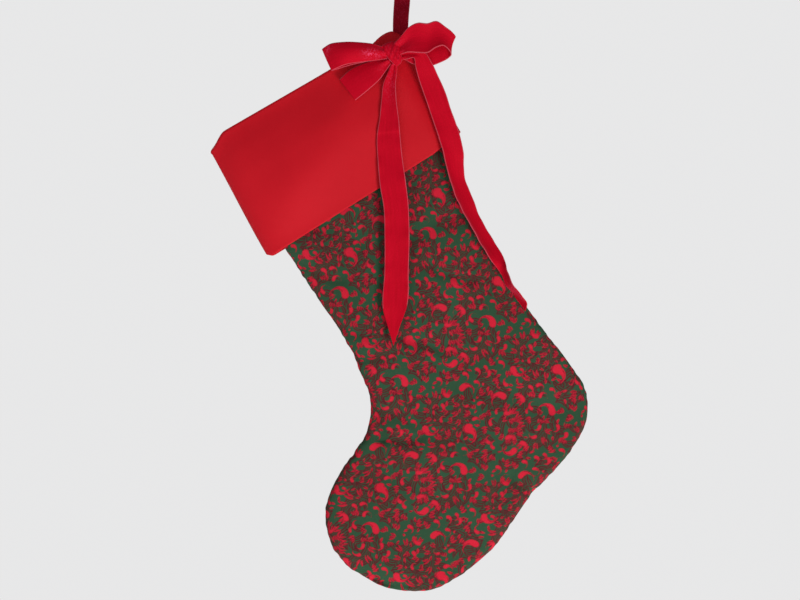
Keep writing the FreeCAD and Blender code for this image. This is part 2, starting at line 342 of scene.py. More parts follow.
# %% Swell the ribs
def swell(t, half, depth, rounding, crown):
    """Across and depth of a padded section at t from -1, one seam, to 1, the other.

    Even steps of t are even steps along the cloth: a flat middle with a slight crown, then a quarter
    ellipse down to the seam."""
    rounding = np.minimum(rounding, 0.97 * half) + 1e-9
    level = half - rounding
    quarter = np.pi / 2 * np.sqrt((rounding**2 + depth**2) / 2)
    run = np.abs(t) * (level + quarter)
    angle = np.clip((run - level) / quarter, 0, 1) * np.pi / 2
    across = np.where(run < level, run, level + rounding * np.sin(angle))
    lift = depth * np.where(run < level, 1.0, np.cos(angle))
    lift = lift * (1 + crown * (1 - (across / (half + 1e-9)) ** 2))
    return np.sign(t) * across, lift, np.sign(t) * run


def ring_steps(columns):
    """Steps round a tube: the front from -1 to 1, then the back from 1 to -1, and which side each is."""
    front = np.linspace(-1, 1, columns + 1)[:-1]
    return np.concatenate([front, -front]), np.concatenate([-np.ones(columns), np.ones(columns)])


toe_distance = np.linalg.norm(rib_middle - rib_middle[-1], axis=1)
toe_round = np.sqrt(1 - (1 - np.clip(toe_distance / edge_rounding, 0, 1)) ** 2)
around, side = ring_steps(leg_columns)
mouth_share = 0.60 + 0.40 * smooth_step((-12.0 - rib_middle[:, 1]) / 75.0)
row_depth = (leg_depth * toe_round * mouth_share)[:, None]
across, lift, run = swell(around[None, :], rib_half[:, None], row_depth, edge_rounding, 0.07)
plane = rib_middle[:, None, :] + rib_way[:, None, :] * across[..., None]
flat_leg = rib_middle[:, None, :] + rib_way[:, None, :] * run[..., None]
leg = hang(plane[..., 0], side * lift, plane[..., 1])
seam_away = np.minimum(np.abs(1 - np.abs(around)), 1)[None, :] * np.abs(run).max(1)[:, None]
print("leg grid", leg.shape, "before the air")


# %% [markdown]
# The simulation is short: gravity is off, the seam and the mouth are held, and the cloth is a little
# larger than its outline, so that pressure folds it softly. No point may move far, and beside the seam
# the cloth keeps its pattern, so the outline and the size stay those of the frame.

# %% Let pressure find the folds
def inflate(ring, held, slack, pressure, frames, reach):
    """Runs cloth on a tube closed at its last row, and gives the tube with its capped movement."""
    rows, columns = ring.shape[:2]
    index = np.arange((rows - 1) * columns).reshape(rows - 1, columns)
    beside = np.roll(index, -1, axis=1)
    quads = np.stack([index[:-1], beside[:-1], beside[1:], index[1:]], -1).reshape(-1, 4)
    tip = (rows - 1) * columns
    toe = np.stack([index[-1], beside[-1], np.full(columns, tip)], -1)
    points = np.concatenate([ring[:-1].reshape(-1, 3), ring[-1:, 0]])
    mesh = bpy.data.meshes.new("inflating")
    mesh.from_pydata(points.tolist(), [], quads.tolist() + toe.tolist())
    piece = link_piece("inflating", mesh)
    group = piece.vertex_groups.new(name="held")
    group.add([int(i) for i in np.flatnonzero(np.append(held[:-1].reshape(-1), True))], 1.0, "REPLACE")
    cloth = piece.modifiers.new("cloth", "CLOTH").settings
    cloth.quality = 6
    cloth.mass = 0.25
    cloth.tension_stiffness = cloth.compression_stiffness = 12.0
    cloth.shear_stiffness = 4.0
    cloth.bending_stiffness = 0.6
    cloth.shrink_min = -slack
    cloth.use_pressure = True
    cloth.uniform_pressure_force = pressure
    cloth.vertex_group_mass = "held"
    cloth.effector_weights.gravity = 0.0
    for step in range(1, frames + 1):
        scene.frame_set(step)
    shaped = piece.evaluated_get(bpy.context.evaluated_depsgraph_get()).data
    moved = np.empty(len(shaped.vertices) * 3, np.float32)
    shaped.vertices.foreach_get("co", moved)
    moved = moved.reshape(-1, 3).astype(float)
    scene.frame_set(1)
    bpy.data.objects.remove(piece)
    last_row = np.repeat(moved[None, -1:], columns, 1)
    change = np.concatenate([moved[:-1].reshape(rows - 1, columns, 3), last_row]) - ring
    length = np.linalg.norm(change, axis=-1, keepdims=True)
    print("cloth moved, in mm: mean", (length.mean() / mm).round(2), "most", (length.max() / mm).round(2))
    return ring + change * np.minimum(1, reach / np.maximum(length, 1e-9))


held = np.zeros(leg.shape[:2], bool)
held[:3] = True
held[:, [0, leg_columns]] = True
plain_leg = leg
inflated = inflate(leg, held, slack=0.022, pressure=3.0, frames=20, reach=5.0 * mm)
leg = leg + (inflated - leg) * smooth_step((seam_away - 5.0) / 22.0)[..., None]
print("leg depth", (np.ptp(leg[..., 1]) / mm).round(1), "mm")


# %% [markdown]
# The panels are then given five times as many points each way, because puckers and creases are far
# smaller than the folds of the simulation. A machine seam draws the cloth up in short uneven waves
# beside it. Creases form where a padded leg bends at the ankle, and are pressed in along drawn lines.

# %% Finer cloth
def ring_normals(ring):
    """The outward direction at each point of a tube, from the two ways along the surface."""
    round_way = np.roll(ring, -1, axis=1) - np.roll(ring, 1, axis=1)
    down_way = np.gradient(ring, axis=0)
    down_way[-1] = down_way[-2]
    normal = np.cross(down_way, round_way)
    return normal / np.maximum(np.linalg.norm(normal, axis=-1, keepdims=True), 1e-12)


finer = 5
panel_steps = leg_columns * finer
fine_leg = refine(refine(leg, finer, 1, closed=True), finer, 0)
fine_leg[-1] = fine_leg[-1].mean(0)
outward = ring_normals(refine(refine(plain_leg, finer, 1, closed=True), finer, 0))
fine_flat = refine(refine(flat_leg, finer, 1, closed=True), finer, 0)
fine_away = refine(refine(seam_away, finer, 1, closed=True), finer, 0)
print("fine leg", fine_leg.shape, "points")


# %% Seam puckers
def seam_run(seam):
    """The run along a seam at each of its points, in millimetres."""
    steps = np.linalg.norm(np.diff(seam, axis=0), axis=1)
    return np.concatenate([[0.0], np.cumsum(steps)]) / mm


steps_round = np.arange(2 * panel_steps)
near_toe_seam = (steps_round + panel_steps / 2) % (2 * panel_steps) < panel_steps
toe_run, heel_run = seam_run(fine_leg[:, 0]), seam_run(fine_leg[:, panel_steps])
pucker_toe = ripple(toe_run, (8.5, 13, 21, 34), 4) * (0.7 + 0.5 * ripple(toe_run, (95, 60), 5))
pucker_heel = ripple(heel_run, (8.5, 12, 19, 37), 6) * (0.7 + 0.5 * ripple(heel_run, (80, 57), 7))
pucker = np.where(near_toe_seam[None, :], pucker_toe[:, None], pucker_heel[:, None])
toe_side = np.where(near_toe_seam[None, :], 1.0, 0.8)
pucker_rise, seam_sink = 0.40, 1.1
raise_by = pucker_rise * pucker * np.exp(-((fine_away / 11.0) ** 2)) * toe_side
raise_by -= seam_sink * np.exp(-((fine_away / 1.6) ** 2))
print("seams run", toe_run[-1].round(0), "mm on the toe side and", heel_run[-1].round(0), "mm on the heel side")

# %% Creases
creases = [
    (-41, -398, -20, -446, 3.2, 5.0), (-20, -446, 12, -450, 3.2, 5.5), (-34, -412, 34, -446, 2.6, 8),
    (-8, -348, 34, -364, 3.0, 6), (-92, -285, -60, -300, 1.8, 5.5), (-66, -338, -36, -352, 2.0, 5),
    (-58, -372, -22, -372, 1.7, 6), (104, -486, 128, -500, 2.8, 5), (60, -240, 110, -330, 1.6, 12),
    (-30, -480, 40, -500, 1.5, 10), (-48, -520, 20, -560, 1.5, 10), (60, -400, 150, -420, 1.5, 10),
    (-100, -240, -40, -262, 1.8, 9), (0, -262, 52, -238, 1.8, 9), (28, -286, 66, -300, 2.4, 5),
]


def crease_depth(x, z, start_x, start_z, end_x, end_z, depth, reach):
    """A valley along a straight line: a bell across it, fading past both ends."""
    length = np.hypot(end_x - start_x, end_z - start_z)
    way_x, way_z = (end_x - start_x) / length, (end_z - start_z) / length
    along = (x - start_x) * way_x + (z - start_z) * way_z
    away = (z - start_z) * way_x - (x - start_x) * way_z + 1.5 * np.sin(along / 9.0)
    past = np.maximum(np.maximum(-along, along - length), 0)
    return depth * np.exp(-((away / reach) ** 2) - (past / (1.4 * reach)) ** 2)


smooth_leg = fine_leg
hung_x, hung_z = fine_leg[..., 0] / mm, fine_leg[..., 2] / mm
crease_share = np.where(steps_round <= panel_steps, 1.0, 0.5)[None, :] * smooth_step(fine_away / 6.0)
for crease in creases:
    raise_by -= crease_depth(hung_x, hung_z, *crease) * crease_share
raise_by = np.maximum(raise_by, -0.4 * np.abs(fine_leg[..., 1]) / mm - seam_sink)
fine_leg = fine_leg + outward * raise_by[..., None] * mm
fine_leg[-1] = fine_leg[-1].mean(0)
room_in_frame, taken_by_cuff = 14.6, 1.9
limit = (room_in_frame - taken_by_cuff * smooth_step((fine_flat[..., 1] + 150.0) / 25.0)) * mm
fine_leg[..., 1] = np.clip(fine_leg[..., 1], -limit, limit)


def spread_depth(pressed, reach):
    """The deepest value within reach points either way, so that a coarser grid clears every valley."""
    for axis in (0, 1):
        pressed = np.max([np.roll(pressed, shift, axis) for shift in range(-reach, reach + 1)], axis=0)
    return pressed


pressed_in = spread_depth(np.maximum(-raise_by, 0.0), finer)
print("creased leg", (np.ptp(fine_leg[..., 1]) / mm).round(1), "mm deep")
print("pressed in by up to", pressed_in.max().round(1), "mm")


# %% [markdown]
# ## The print
# The cotton carries an all-over scroll print in three inks: a dark green ground, dark maroon leaves
# drawn with fine engraved lines, and clear red commas, petals and dots. It is drawn here stroke by
# stroke on one repeating tile. A stroke is a chain of round dabs along a curling line, and its
# distance field says how far each place on the tile is from the ink. The cloth's points read the tile,
# and the shader draws a crisp edge where the distance passes nought, however near the camera comes.

# %% Strokes of the print
tile_size = 100.0
tile_cells = 300
cell_steps = (np.arange(tile_cells) + 0.5) * tile_size / tile_cells
cell_y, cell_x = (a.ravel() for a in np.meshgrid(cell_steps, cell_steps, indexing="ij"))


def stroke(x, y, heading, length, turn, widths, dabs=16):
    """Centres and radii of the dabs along a curling line.

    The line starts at (x, y) towards heading and turns evenly by turn, both in degrees. The radius
    runs through widths from its start to its end."""
    s = np.linspace(0.0, 1.0, dabs)
    way = np.radians(heading + turn * s)
    step = length / (dabs - 1)
    px = x + np.concatenate([[0.0], np.cumsum(np.cos(way[:-1]) * step)])
    py = y + np.concatenate([[0.0], np.cumsum(np.sin(way[:-1]) * step)])
    radius = np.interp(s, np.linspace(0, 1, len(widths)), widths)
    return np.stack([px, py, radius, s * length, np.cos(way), np.sin(way)], -1)


def wrapped(distance):
    """A distance on the tile, taken the short way round."""
    return (distance + tile_size / 2) % tile_size - tile_size / 2


def near_stroke(dabs, margin=7.0):
    """The cells near a stroke. For each: distance from the ink, run along the line and distance aside."""
    centre = dabs[:, :2].mean(0)
    reach = np.hypot(*(dabs[:, :2] - centre).T).max() + margin
    cells = np.flatnonzero(np.hypot(wrapped(cell_x - centre[0]), wrapped(cell_y - centre[1])) < reach)
    dx = wrapped(cell_x[cells][None, :] - dabs[:, :1])
    dy = wrapped(cell_y[cells][None, :] - dabs[:, 1:2])
    away = np.hypot(dx, dy) - dabs[:, 2:3]
    nearest = np.argmin(away, axis=0)
    pick = np.arange(cells.size)
    way_x, way_y = dabs[nearest, 4], dabs[nearest, 5]
    along = dabs[nearest, 3] + dx[nearest, pick] * way_x + dy[nearest, pick] * way_y
    aside = dy[nearest, pick] * way_x - dx[nearest, pick] * way_y
    return cells, away[nearest, pick], along, aside


# %% Inks on the tile
tile_fields = {"red": np.full(cell_x.size, 99.0), "leaf": np.full(cell_x.size, 99.0),
               "lines": np.zeros(cell_x.size), "shade": np.zeros(cell_x.size)}


def ink_red(dabs, shading):
    """Lays a red stroke. Its far end and one flank are darkened by engraved lines that follow it."""
    cells, away, along, aside = near_stroke(dabs)
    nearer = away < tile_fields["red"][cells]
    share = along / max(dabs[-1, 3], 0.1)
    flank = 0.6 * (aside > 0.25 * dabs[:, 2].max()) * (share > 0.2)
    dark = np.clip(np.clip(shading * (1.9 * share - 0.5), 0, 1) + flank, 0, 1)
    tile_fields["shade"][cells[nearer]] = dark[nearer]
    close = nearer & (away < 0.6)
    tile_fields["lines"][cells[close]] = ((aside + 0.25 * along) / 2.1)[close]
    tile_fields["red"][cells[nearer]] = away[nearer]


def ink_leaf(dabs, pitch=2.3):
    """Lays a plume of engraved lines that run with its stem and spread a little."""
    cells, away, along, aside = near_stroke(dabs)
    nearer = away < tile_fields["leaf"][cells]
    inked = nearer & (tile_fields["red"][cells] > 0.4)
    tile_fields["lines"][cells[inked]] = ((aside * (1 + 0.012 * along) + 0.22 * along) / pitch)[inked]
    tile_fields["leaf"][cells[nearer]] = away[nearer]


def comma(x, y, heading, size, hand):
    """A round head whose body curls round and thins away."""
    widths = [size * share for share in (1.0, 0.9, 0.54, 0.34, 0.24, 0.16, 0.1)]
    dabs = stroke(x, y, heading, 7.6 * size, 215 * hand, widths, 24)
    ink_red(dabs, 0.9)
    return dabs


def petal(x, y, heading, length, width, turn=0.0):
    """A short stroke, widest past its middle, that ends in a fine tip."""
    widths = (0.3 * width, 0.75 * width, width, 0.8 * width, 0.2)
    ink_red(stroke(x, y, heading, length, turn, widths, 12), 0.5)


def fan(x, y, heading, length, width, hand, count=3):
    """Petals that spring from one place, each turned a little more and a little shorter."""
    away = np.radians(heading + 90 * hand)
    for k in range(count):
        at_x, at_y = x + 1.5 * k * width * np.cos(away), y + 1.5 * k * width * np.sin(away)
        petal(at_x, at_y, heading + 16 * hand * k, length * (1 - 0.16 * k), width, 40 * hand)


def scroll(x, y, heading, size, hand):
    """One spray: a big comma, the plume that it grows from, and petals fanned along the plume."""
    head = comma(x, y, heading, 0.125 * size, hand)
    tail = head[-1]
    way = np.degrees(np.arctan2(tail[5], tail[4]))
    stem = stroke(tail[0], tail[1], way, 1.5 * size, -150 * hand, (0.5, 2.6, 4.0, 4.0, 2.6, 0.5), 24)
    for place in (3, 7, 11, 15, 19, 22):
        at = stem[place]
        out = np.degrees(np.arctan2(at[5], at[4])) + hand * (52 - 1.2 * place)
        reach = 0.20 + 0.13 * np.sin(np.pi * place / 24)
        fan(at[0] + 1.5 * np.cos(np.radians(out)), at[1] + 1.5 * np.sin(np.radians(out)),
            out, reach * size, 0.045 * size, hand, 2)
    comma(stem[-1, 0], stem[-1, 1], way + 40 * hand, 0.085 * size, -hand)
    return stem


leaf_stems = [scroll(*place) for place in (
    (20, 24, 60, 27, 1), (70, 14, 200, 24, -1), (45, 55, 320, 28, -1),
    (90, 62, 110, 26, 1), (12, 78, 250, 25, 1), (62, 90, 20, 24, -1))]


# %% Fill the gaps
def drift(x, y):
    """The way that small strokes lie, in degrees: it swirls once across the tile and meets itself."""
    a, b = 2 * np.pi * x / tile_size, 2 * np.pi * y / tile_size
    return 140 * np.sin(a + 1.1 * np.sin(b)) + 120 * np.cos(b - 0.8 * np.cos(a))


def fill_gaps(count, seed, least_room=2.3):
    """Lays a small petal, comma or dot where the red is furthest away among a few tries, count times."""
    draw = np.random.default_rng(seed)
    for k in range(count):
        tries = draw.integers(0, cell_x.size, 14)
        cell = tries[np.argmax(tile_fields["red"][tries])]
        room = tile_fields["red"][cell]
        spin = draw.uniform(-25, 25)
        if room < least_room:
            continue
        x, y = cell_x[cell], cell_y[cell]
        way = drift(x, y) + spin
        size = min(2.0, 0.5 * room)
        back_x, back_y = x - size * np.cos(np.radians(way)), y - size * np.sin(np.radians(way))
        hand = 1 if k % 2 else -1
        if room > 3.6 and k % 2 == 0:
            comma(x, y, way, min(1.8, 0.38 * room), hand)
        elif room > 3.2:
            fan(back_x, back_y, way, 3.2 * size, 0.62 * size, hand)
        elif k % 5 == 1:
            ink_red(stroke(x, y, way, 0.8, 0, (0.9 * size, 0.8 * size), 3), 0.2)
        else:
            petal(back_x, back_y, way, 3.4 * size, 0.9 * size, 40 * hand)


fill_gaps(125, 5)
for stem in leaf_stems:
    ink_leaf(stem)
draw = np.random.default_rng(8)
for k in range(84):
    x, y = draw.uniform(0, tile_size, 2)
    way = drift(x, y) + 35
    ink_leaf(stroke(x, y, way, draw.uniform(14, 24), draw.uniform(60, 150) * (1 if k % 2 else -1),
                    (0.4, 2.2, 3.2, 2.6, 1.4, 0.3), 16))
print_tile = np.stack([tile_fields[ink] for ink in ("red", "leaf", "lines", "shade")], -1)
print_tile = print_tile.reshape(tile_cells, tile_cells, 4)
red_share = float((print_tile[..., 0] < 0).mean())
leaf_share = float(((print_tile[..., 1] < 0) & (print_tile[..., 0] > 0)).mean())
print("tile of", tile_size, "mm: red ink", round(red_share, 2), "leaf", round(leaf_share, 2))


# %% The cloth reads the tile
def read_tile(tile, u, v):
    """The tile's fields at places of the cloth, evened between the four nearest cells.

    Where two strokes meet, the run of their lines jumps, so there the nearest cell's own run stands."""
    cells = len(tile)
    x = (u / tile_size * cells - 0.5) % cells
    y = (v / tile_size * cells - 0.5) % cells
    i, j = np.floor(x).astype(int), np.floor(y).astype(int)
    fx, fy = (x - i)[..., None], (y - j)[..., None]
    corners = [tile[(j + b) % cells, (i + a) % cells] for b in (0, 1) for a in (0, 1)]
    below = corners[0] * (1 - fx) + corners[1] * fx
    above = corners[2] * (1 - fx) + corners[3] * fx
    fields = below * (1 - fy) + above * fy
    near = tile[np.round(y).astype(int) % cells, np.round(x).astype(int) % cells]
    spread = np.ptp(np.stack(corners), axis=0)
    fields[..., 2] = np.where(spread[..., 2] < 0.8, fields[..., 2], near[..., 2])
    return fields


def cloth_fields(flat, mirrored):
    """The print's fields at flat places of a panel, in millimetres. The grain leans four degrees."""
    grain = np.radians(4.0)
    u, v = (-flat[..., 0] + 37.0, flat[..., 1] + 12.0) if mirrored else (flat[..., 0], flat[..., 1])
    return read_tile(print_tile, u * np.cos(grain) + v * np.sin(grain), v * np.cos(grain) - u * np.sin(grain))


field_names = ("red_distance", "leaf_distance", "line_run", "red_shade")


def paint(piece, fields):
    """Stores the fields as attributes of the mesh's points."""
    for name, values in zip(field_names, np.moveaxis(fields, -1, 0)):
        layer = piece.data.attributes.new(name, "FLOAT", "POINT")
        layer.data.foreach_set("value", values.ravel().astype(np.float32))


# %% [markdown]
# ## Shared effects
# Three effects turn up in several finishes, so each is a node group with its own inputs: the threads
# of a woven cloth, a soft unevenness of the dye, and the pale woven edge of a ribbon. A group gives
# only masks and heights. The shader itself stays in each material.

# %% Node helpers
def feed(tree, socket, value):
    """Links a socket to another or sets its value."""
    if isinstance(value, bpy.types.NodeSocket):
        tree.links.new(value, socket)
    else:
        socket.default_value = value


def add(tree, kind, inputs=(), **settings):
    """A node with its settings, whose inputs are linked to sockets or set to values."""
    node = tree.nodes.new("ShaderNode" + kind)
    for name, value in settings.items():
        setattr(node, name, value)
    for name, value in dict(inputs).items():
        feed(tree, node.inputs[name], value)
    return node


def sums(tree, operation, a, b=0.0, c=None):
    """A Math node's output."""
    values = {0: a, 1: b}
    if c is not None:
        values[2] = c
    return add(tree, "Math", values, operation=operation).outputs[0]


def blend_colour(tree, share, a, b):
    """Colour a where share is 0 and b where it is 1."""
    node = add(tree, "Mix", {0: share}, data_type="RGBA")
    for socket, value in ((node.inputs[6], a), (node.inputs[7], b)):
        feed(tree, socket, (*value, 1.0) if isinstance(value, tuple) else value)
    return node.outputs[2]


def ramp(tree, value, start, end):
    """0 before start, 1 after end, smooth between."""
    given = {"Value": value, "From Min": start, "From Max": end}
    return add(tree, "MapRange", given, interpolation_type="SMOOTHSTEP").outputs["Result"]


def new_group(name, inputs, outputs):
    """An empty node group, with what it is given and what it gives. Every output is a plain number."""
    group = bpy.data.node_groups.new(name, "ShaderNodeTree")
    for title, kind, value in inputs:
        socket = group.interface.new_socket(title, in_out="INPUT", socket_type="NodeSocket" + kind)
        if value is not None:
            socket.default_value = value
    for title in outputs:
        group.interface.new_socket(title, in_out="OUTPUT", socket_type="NodeSocketFloat")
    return group, group.nodes.new("NodeGroupInput").outputs, group.nodes.new("NodeGroupOutput").inputs


def use(tree, group, inputs):
    """The outputs of a node group in this material."""
    return add(tree, "Group", inputs, node_tree=group).outputs


# %% Woven threads, uneven dye and woven edge
def make_threads():
    """Over and under of warp and weft: one sine across the other, wandering a little."""
    inputs = [("Cloth", "Vector", None), ("Threads", "Float", 1800.0), ("Slub", "Float", 0.4)]
    group, given, result = new_group("woven_threads", inputs, ["Height", "Mask"])
    place = add(group, "SeparateXYZ", {"Vector": given["Cloth"]}).outputs
    wobble = add(group, "TexNoise", {"Vector": given["Cloth"], "Scale": 420.0, "Detail": 2.0}).outputs[0]
    warp = sums(group, "SINE", sums(group, "MULTIPLY_ADD", place["X"], given["Threads"], wobble))
    weft = sums(group, "SINE", sums(group, "MULTIPLY_ADD", place["Y"], given["Threads"], wobble))
    over = sums(group, "MULTIPLY", warp, weft)
    slub = sums(group, "MULTIPLY", wobble, given["Slub"])
    height = sums(group, "MULTIPLY_ADD", over, 0.5, sums(group, "ADD", slub, 0.5))
    group.links.new(height, result["Height"])
    group.links.new(sums(group, "MULTIPLY_ADD", over, 0.5, 0.5), result["Mask"])
    return group


def make_unevenness():
    """Two noises, one of broad clouds and one of fine specks."""
    inputs = [("Place", "Vector", None), ("Coarse", "Float", 18.0), ("Fine", "Float", 160.0)]
    group, given, result = new_group("uneven_dye", inputs, ["Broad", "Small"])
    broad = {"Vector": given["Place"], "Scale": given["Coarse"], "Detail": 3.0}
    small = {"Vector": given["Place"], "Scale": given["Fine"], "Detail": 4.0, "Roughness": 0.65}
    group.links.new(add(group, "TexNoise", broad).outputs[0], result["Broad"])
    group.links.new(add(group, "TexNoise", small).outputs[0], result["Small"])
    return group


def make_selvedge():
    """1 on a ribbon's edge, by the distance left to its half width, and the fine ribs along it."""
    inputs = [("Cloth", "Vector", None), ("Half width", "Float", 0.0127), ("Edge", "Float", 0.0011)]
    group, given, result = new_group("woven_edge", inputs, ["Mask", "Ribs"])
    place = add(group, "SeparateXYZ", {"Vector": given["Cloth"]}).outputs
    inward = sums(group, "SUBTRACT", given["Half width"], sums(group, "ABSOLUTE", place["X"]))
    share = sums(group, "DIVIDE", inward, given["Edge"])
    group.links.new(sums(group, "SUBTRACT", 1.0, ramp(group, share, 0.75, 1.25)), result["Mask"])
    ribs = sums(group, "SINE", sums(group, "MULTIPLY", place["Y"], 7000.0))
    group.links.new(sums(group, "MULTIPLY_ADD", ribs, 0.5, 0.5), result["Ribs"])
    return group


threads_group, dye_group, edge_group = make_threads(), make_unevenness(), make_selvedge()
print("groups:", [g.name for g in (threads_group, dye_group, edge_group)])


# %% Start a cloth material
def start_cloth(name, roughness, sheen, sheen_roughness, sheen_tint, specular=0.35):
    """A material with its shader's constants set, and the cloth's own coordinates at hand."""
    material = bpy.data.materials.new(name)
    material.use_nodes = True
    tree = material.node_tree
    shader = tree.nodes["Principled BSDF"]
    shader.inputs["Roughness"].default_value = roughness
    shader.inputs["Specular IOR Level"].default_value = specular
    shader.inputs["Sheen Weight"].default_value = sheen
    shader.inputs["Sheen Roughness"].default_value = sheen_roughness
    shader.inputs["Sheen Tint"].default_value = (*sheen_tint, 1.0)
    uv = add(tree, "UVMap", uv_map="cloth").outputs[0]
    place = add(tree, "TexCoord").outputs["Object"]
    return material, tree, shader, uv, place


def bump(tree, shader, height, distance, strength=1.0, under=None):
    """Tilts the shader's normal by a height. under is a normal that is tilted already."""
    inputs = {"Height": height, "Distance": distance, "Strength": strength}
    if under is not None:
        inputs["Normal"] = under
    normal = add(tree, "Bump", inputs).outputs[0]
    tree.links.new(normal, shader.inputs["Normal"])
    return normal


# %% [markdown]
# ## The printed cotton
# A matt quilting cotton. A picture of the print would blur close up, and noise could not draw a
# scroll, so the shader mixes green, maroon and red where the stored distances pass nought. It thins
# the ink a little over the threads, and lets the dye wander.

# %% Printed cotton
def printed_cotton():
    """Green ground, maroon plumes and red strokes, each where its distance passes nought."""
    material, tree, shader, uv, place = start_cloth("printed_cotton", 0.82, 0.03, 0.5, (0.9, 0.8, 0.8), 0.12)
    read = {name: add(tree, "Attribute", attribute_name=name).outputs["Fac"] for name in field_names}
    dye = use(tree, dye_group, {"Place": place, "Coarse": 14.0, "Fine": 260.0})
    weave = use(tree, threads_group, {"Cloth": uv, "Threads": 9000.0})
    bleed = sums(tree, "MULTIPLY_ADD", dye["Small"], 0.9, -0.45)
    red_edge = sums(tree, "ADD", read["red_distance"], bleed)
    leaf_edge = sums(tree, "ADD", read["leaf_distance"], bleed)
    red = sums(tree, "SUBTRACT", 1.0, ramp(tree, red_edge, -0.28, 0.28))
    plume = sums(tree, "SUBTRACT", 1.0, ramp(tree, leaf_edge, -0.5, 0.9))
    edge = sums(tree, "ABSOLUTE", sums(tree, "ADD", read["leaf_distance"], 0.2))
    outline = sums(tree, "SUBTRACT", 1.0, ramp(tree, edge, 0.1, 1.0))
    wave = sums(tree, "SINE", sums(tree, "MULTIPLY", read["line_run"], 2 * np.pi))
    lines = ramp(tree, wave, -0.35, 0.5)
    hatched = sums(tree, "MULTIPLY", plume, sums(tree, "MULTIPLY_ADD", lines, 0.95, 0.12))
    engraved = sums(tree, "MINIMUM", sums(tree, "MULTIPLY_ADD", outline, 0.6, hatched), 1.0)
    green = blend_colour(tree, dye["Broad"], (0.016, 0.062, 0.028), (0.036, 0.105, 0.054))
    ground = blend_colour(tree, engraved, green, (0.100, 0.010, 0.016))
    bright = blend_colour(tree, dye["Broad"], (0.61, 0.008, 0.028), (0.79, 0.018, 0.052))
    rim = sums(tree, "MULTIPLY", ramp(tree, read["red_distance"], -1.2, 0.1), 0.45)
    cut = sums(tree, "MULTIPLY_ADD", read["red_shade"], sums(tree, "ADD", lines, 0.1), rim)
    inked = blend_colour(tree, sums(tree, "MINIMUM", cut, 1.0), bright, (0.12, 0.006, 0.014))
    printed = blend_colour(tree, red, ground, inked)
    worn = sums(tree, "MULTIPLY", ramp(tree, weave["Mask"], 0.2, 1.0), 0.05)
    tree.links.new(blend_colour(tree, worn, printed, (0.24, 0.16, 0.14)), shader.inputs["Base Color"])
    tree.links.new(sums(tree, "MULTIPLY_ADD", dye["Small"], 0.12, 0.76), shader.inputs["Roughness"])
    soft = bump(tree, shader, dye["Broad"], 0.0012, 0.35)
    bump(tree, shader, weave["Height"], 0.00012, 0.6, soft)
    return material


print_material = printed_cotton()
print(print_material.name, len(print_material.node_tree.nodes), "nodes")


# %% Front and back panels
def panel(name, columns, mirrored):
    """One half of the leg's tube, between its two seams, with the print's fields on its points."""
    points, flat = fine_leg[:, columns], fine_flat[:, columns]
    mesh = grid_mesh(name, points, flat * mm, turned=True)
    piece = link_piece(name, mesh)
    paint(piece, cloth_fields(flat, mirrored))
    weld(mesh, 2e-6)
    mesh.materials.append(print_material)
    return report(piece)


front_columns = np.arange(panel_steps + 1)
back_columns = (front_columns + panel_steps) % (2 * panel_steps)
outer_front = panel("leg_front", front_columns, False)
outer_back = panel("leg_back", back_columns, True)


# %% [markdown]
# ## Batting and lining
# Behind the print lies a soft white fleece, and behind that the lining that makes the pocket. Both
# are the same tube, moved inward along its normals and further in where a crease presses. Their grids
# are coarser, because only their edges at the mouth can be seen, and they stop short of the toe's tip.

# %% Inner layers
inner_every, rows_short_of_toe = 4, 28
least_gap = 0.2 * mm


def inner_layer(name, columns, depth, thickness):
    """A panel of the tube, depth millimetres inside the print. Front and back never cross the middle."""
    rows = slice(0, -rows_short_of_toe, inner_every)
    pick = columns[::inner_every]
    points = (smooth_leg - outward * (depth + 1.15 * pressed_in[..., None]) * mm)[rows][:, pick]
    if columns is front_columns:
        points[..., 1] = np.minimum(points[..., 1], -least_gap)
    else:
        points[..., 1] = np.maximum(points[..., 1], least_gap)
    mesh = grid_mesh(name, points, fine_flat[rows][:, pick] * mm, turned=True)
    weld(mesh, 1e-5)
    return report(thicken(link_piece(name, mesh), thickness * mm, -1.0))


def fleece():
    """White batting, matt and soft."""
    material, tree, shader, uv, place = start_cloth("fleece", 0.95, 0.5, 0.6, (1.0, 1.0, 1.0), 0.2)
    dye = use(tree, dye_group, {"Place": place, "Coarse": 60.0, "Fine": 900.0})
    white = blend_colour(tree, dye["Broad"], (0.74, 0.73, 0.69), (0.86, 0.85, 0.81))
    tree.links.new(white, shader.inputs["Base Color"])
    bump(tree, shader, dye["Small"], 0.0008, 0.9)
    return material


def plain_cotton(name, dark, light, roughness, sheen, tint, specular, threads):
    """A cotton in one colour between dark and light, with its weave, a wandering dye and painted shade in the
    hollows of the weave.
    """
    material, tree, shader, uv, place = start_cloth(name, roughness, sheen, 0.4, tint, specular)
    dye = use(tree, dye_group, {"Place": place, "Coarse": 16.0, "Fine": 700.0})
    weave = use(tree, threads_group, {"Cloth": uv, "Threads": threads, "Slub": 0.8})
    shade = sums(tree, "MULTIPLY_ADD", dye["Small"], 0.45, sums(tree, "MULTIPLY", dye["Broad"], 0.55))
    cloth = blend_colour(tree, shade, dark, light)
    # Painted shade: the colour darkens where the threads dip, in the hollows of the weave.
    hollow_shade = sums(tree, "MULTIPLY", sums(tree, "SUBTRACT", 1.0, weave["Mask"]), 0.22)
    woven = blend_colour(tree, hollow_shade, cloth, tuple(0.45 * c for c in dark))
    uneven = sums(tree, "MULTIPLY_ADD", dye["Small"], 0.16, roughness - 0.08)
    tree.links.new(woven, shader.inputs["Base Color"])
    tree.links.new(uneven, shader.inputs["Roughness"])
    soft = bump(tree, shader, dye["Small"], 0.00025, 0.5)
    bump(tree, shader, weave["Height"], 0.00016, 0.7, soft)
    return material


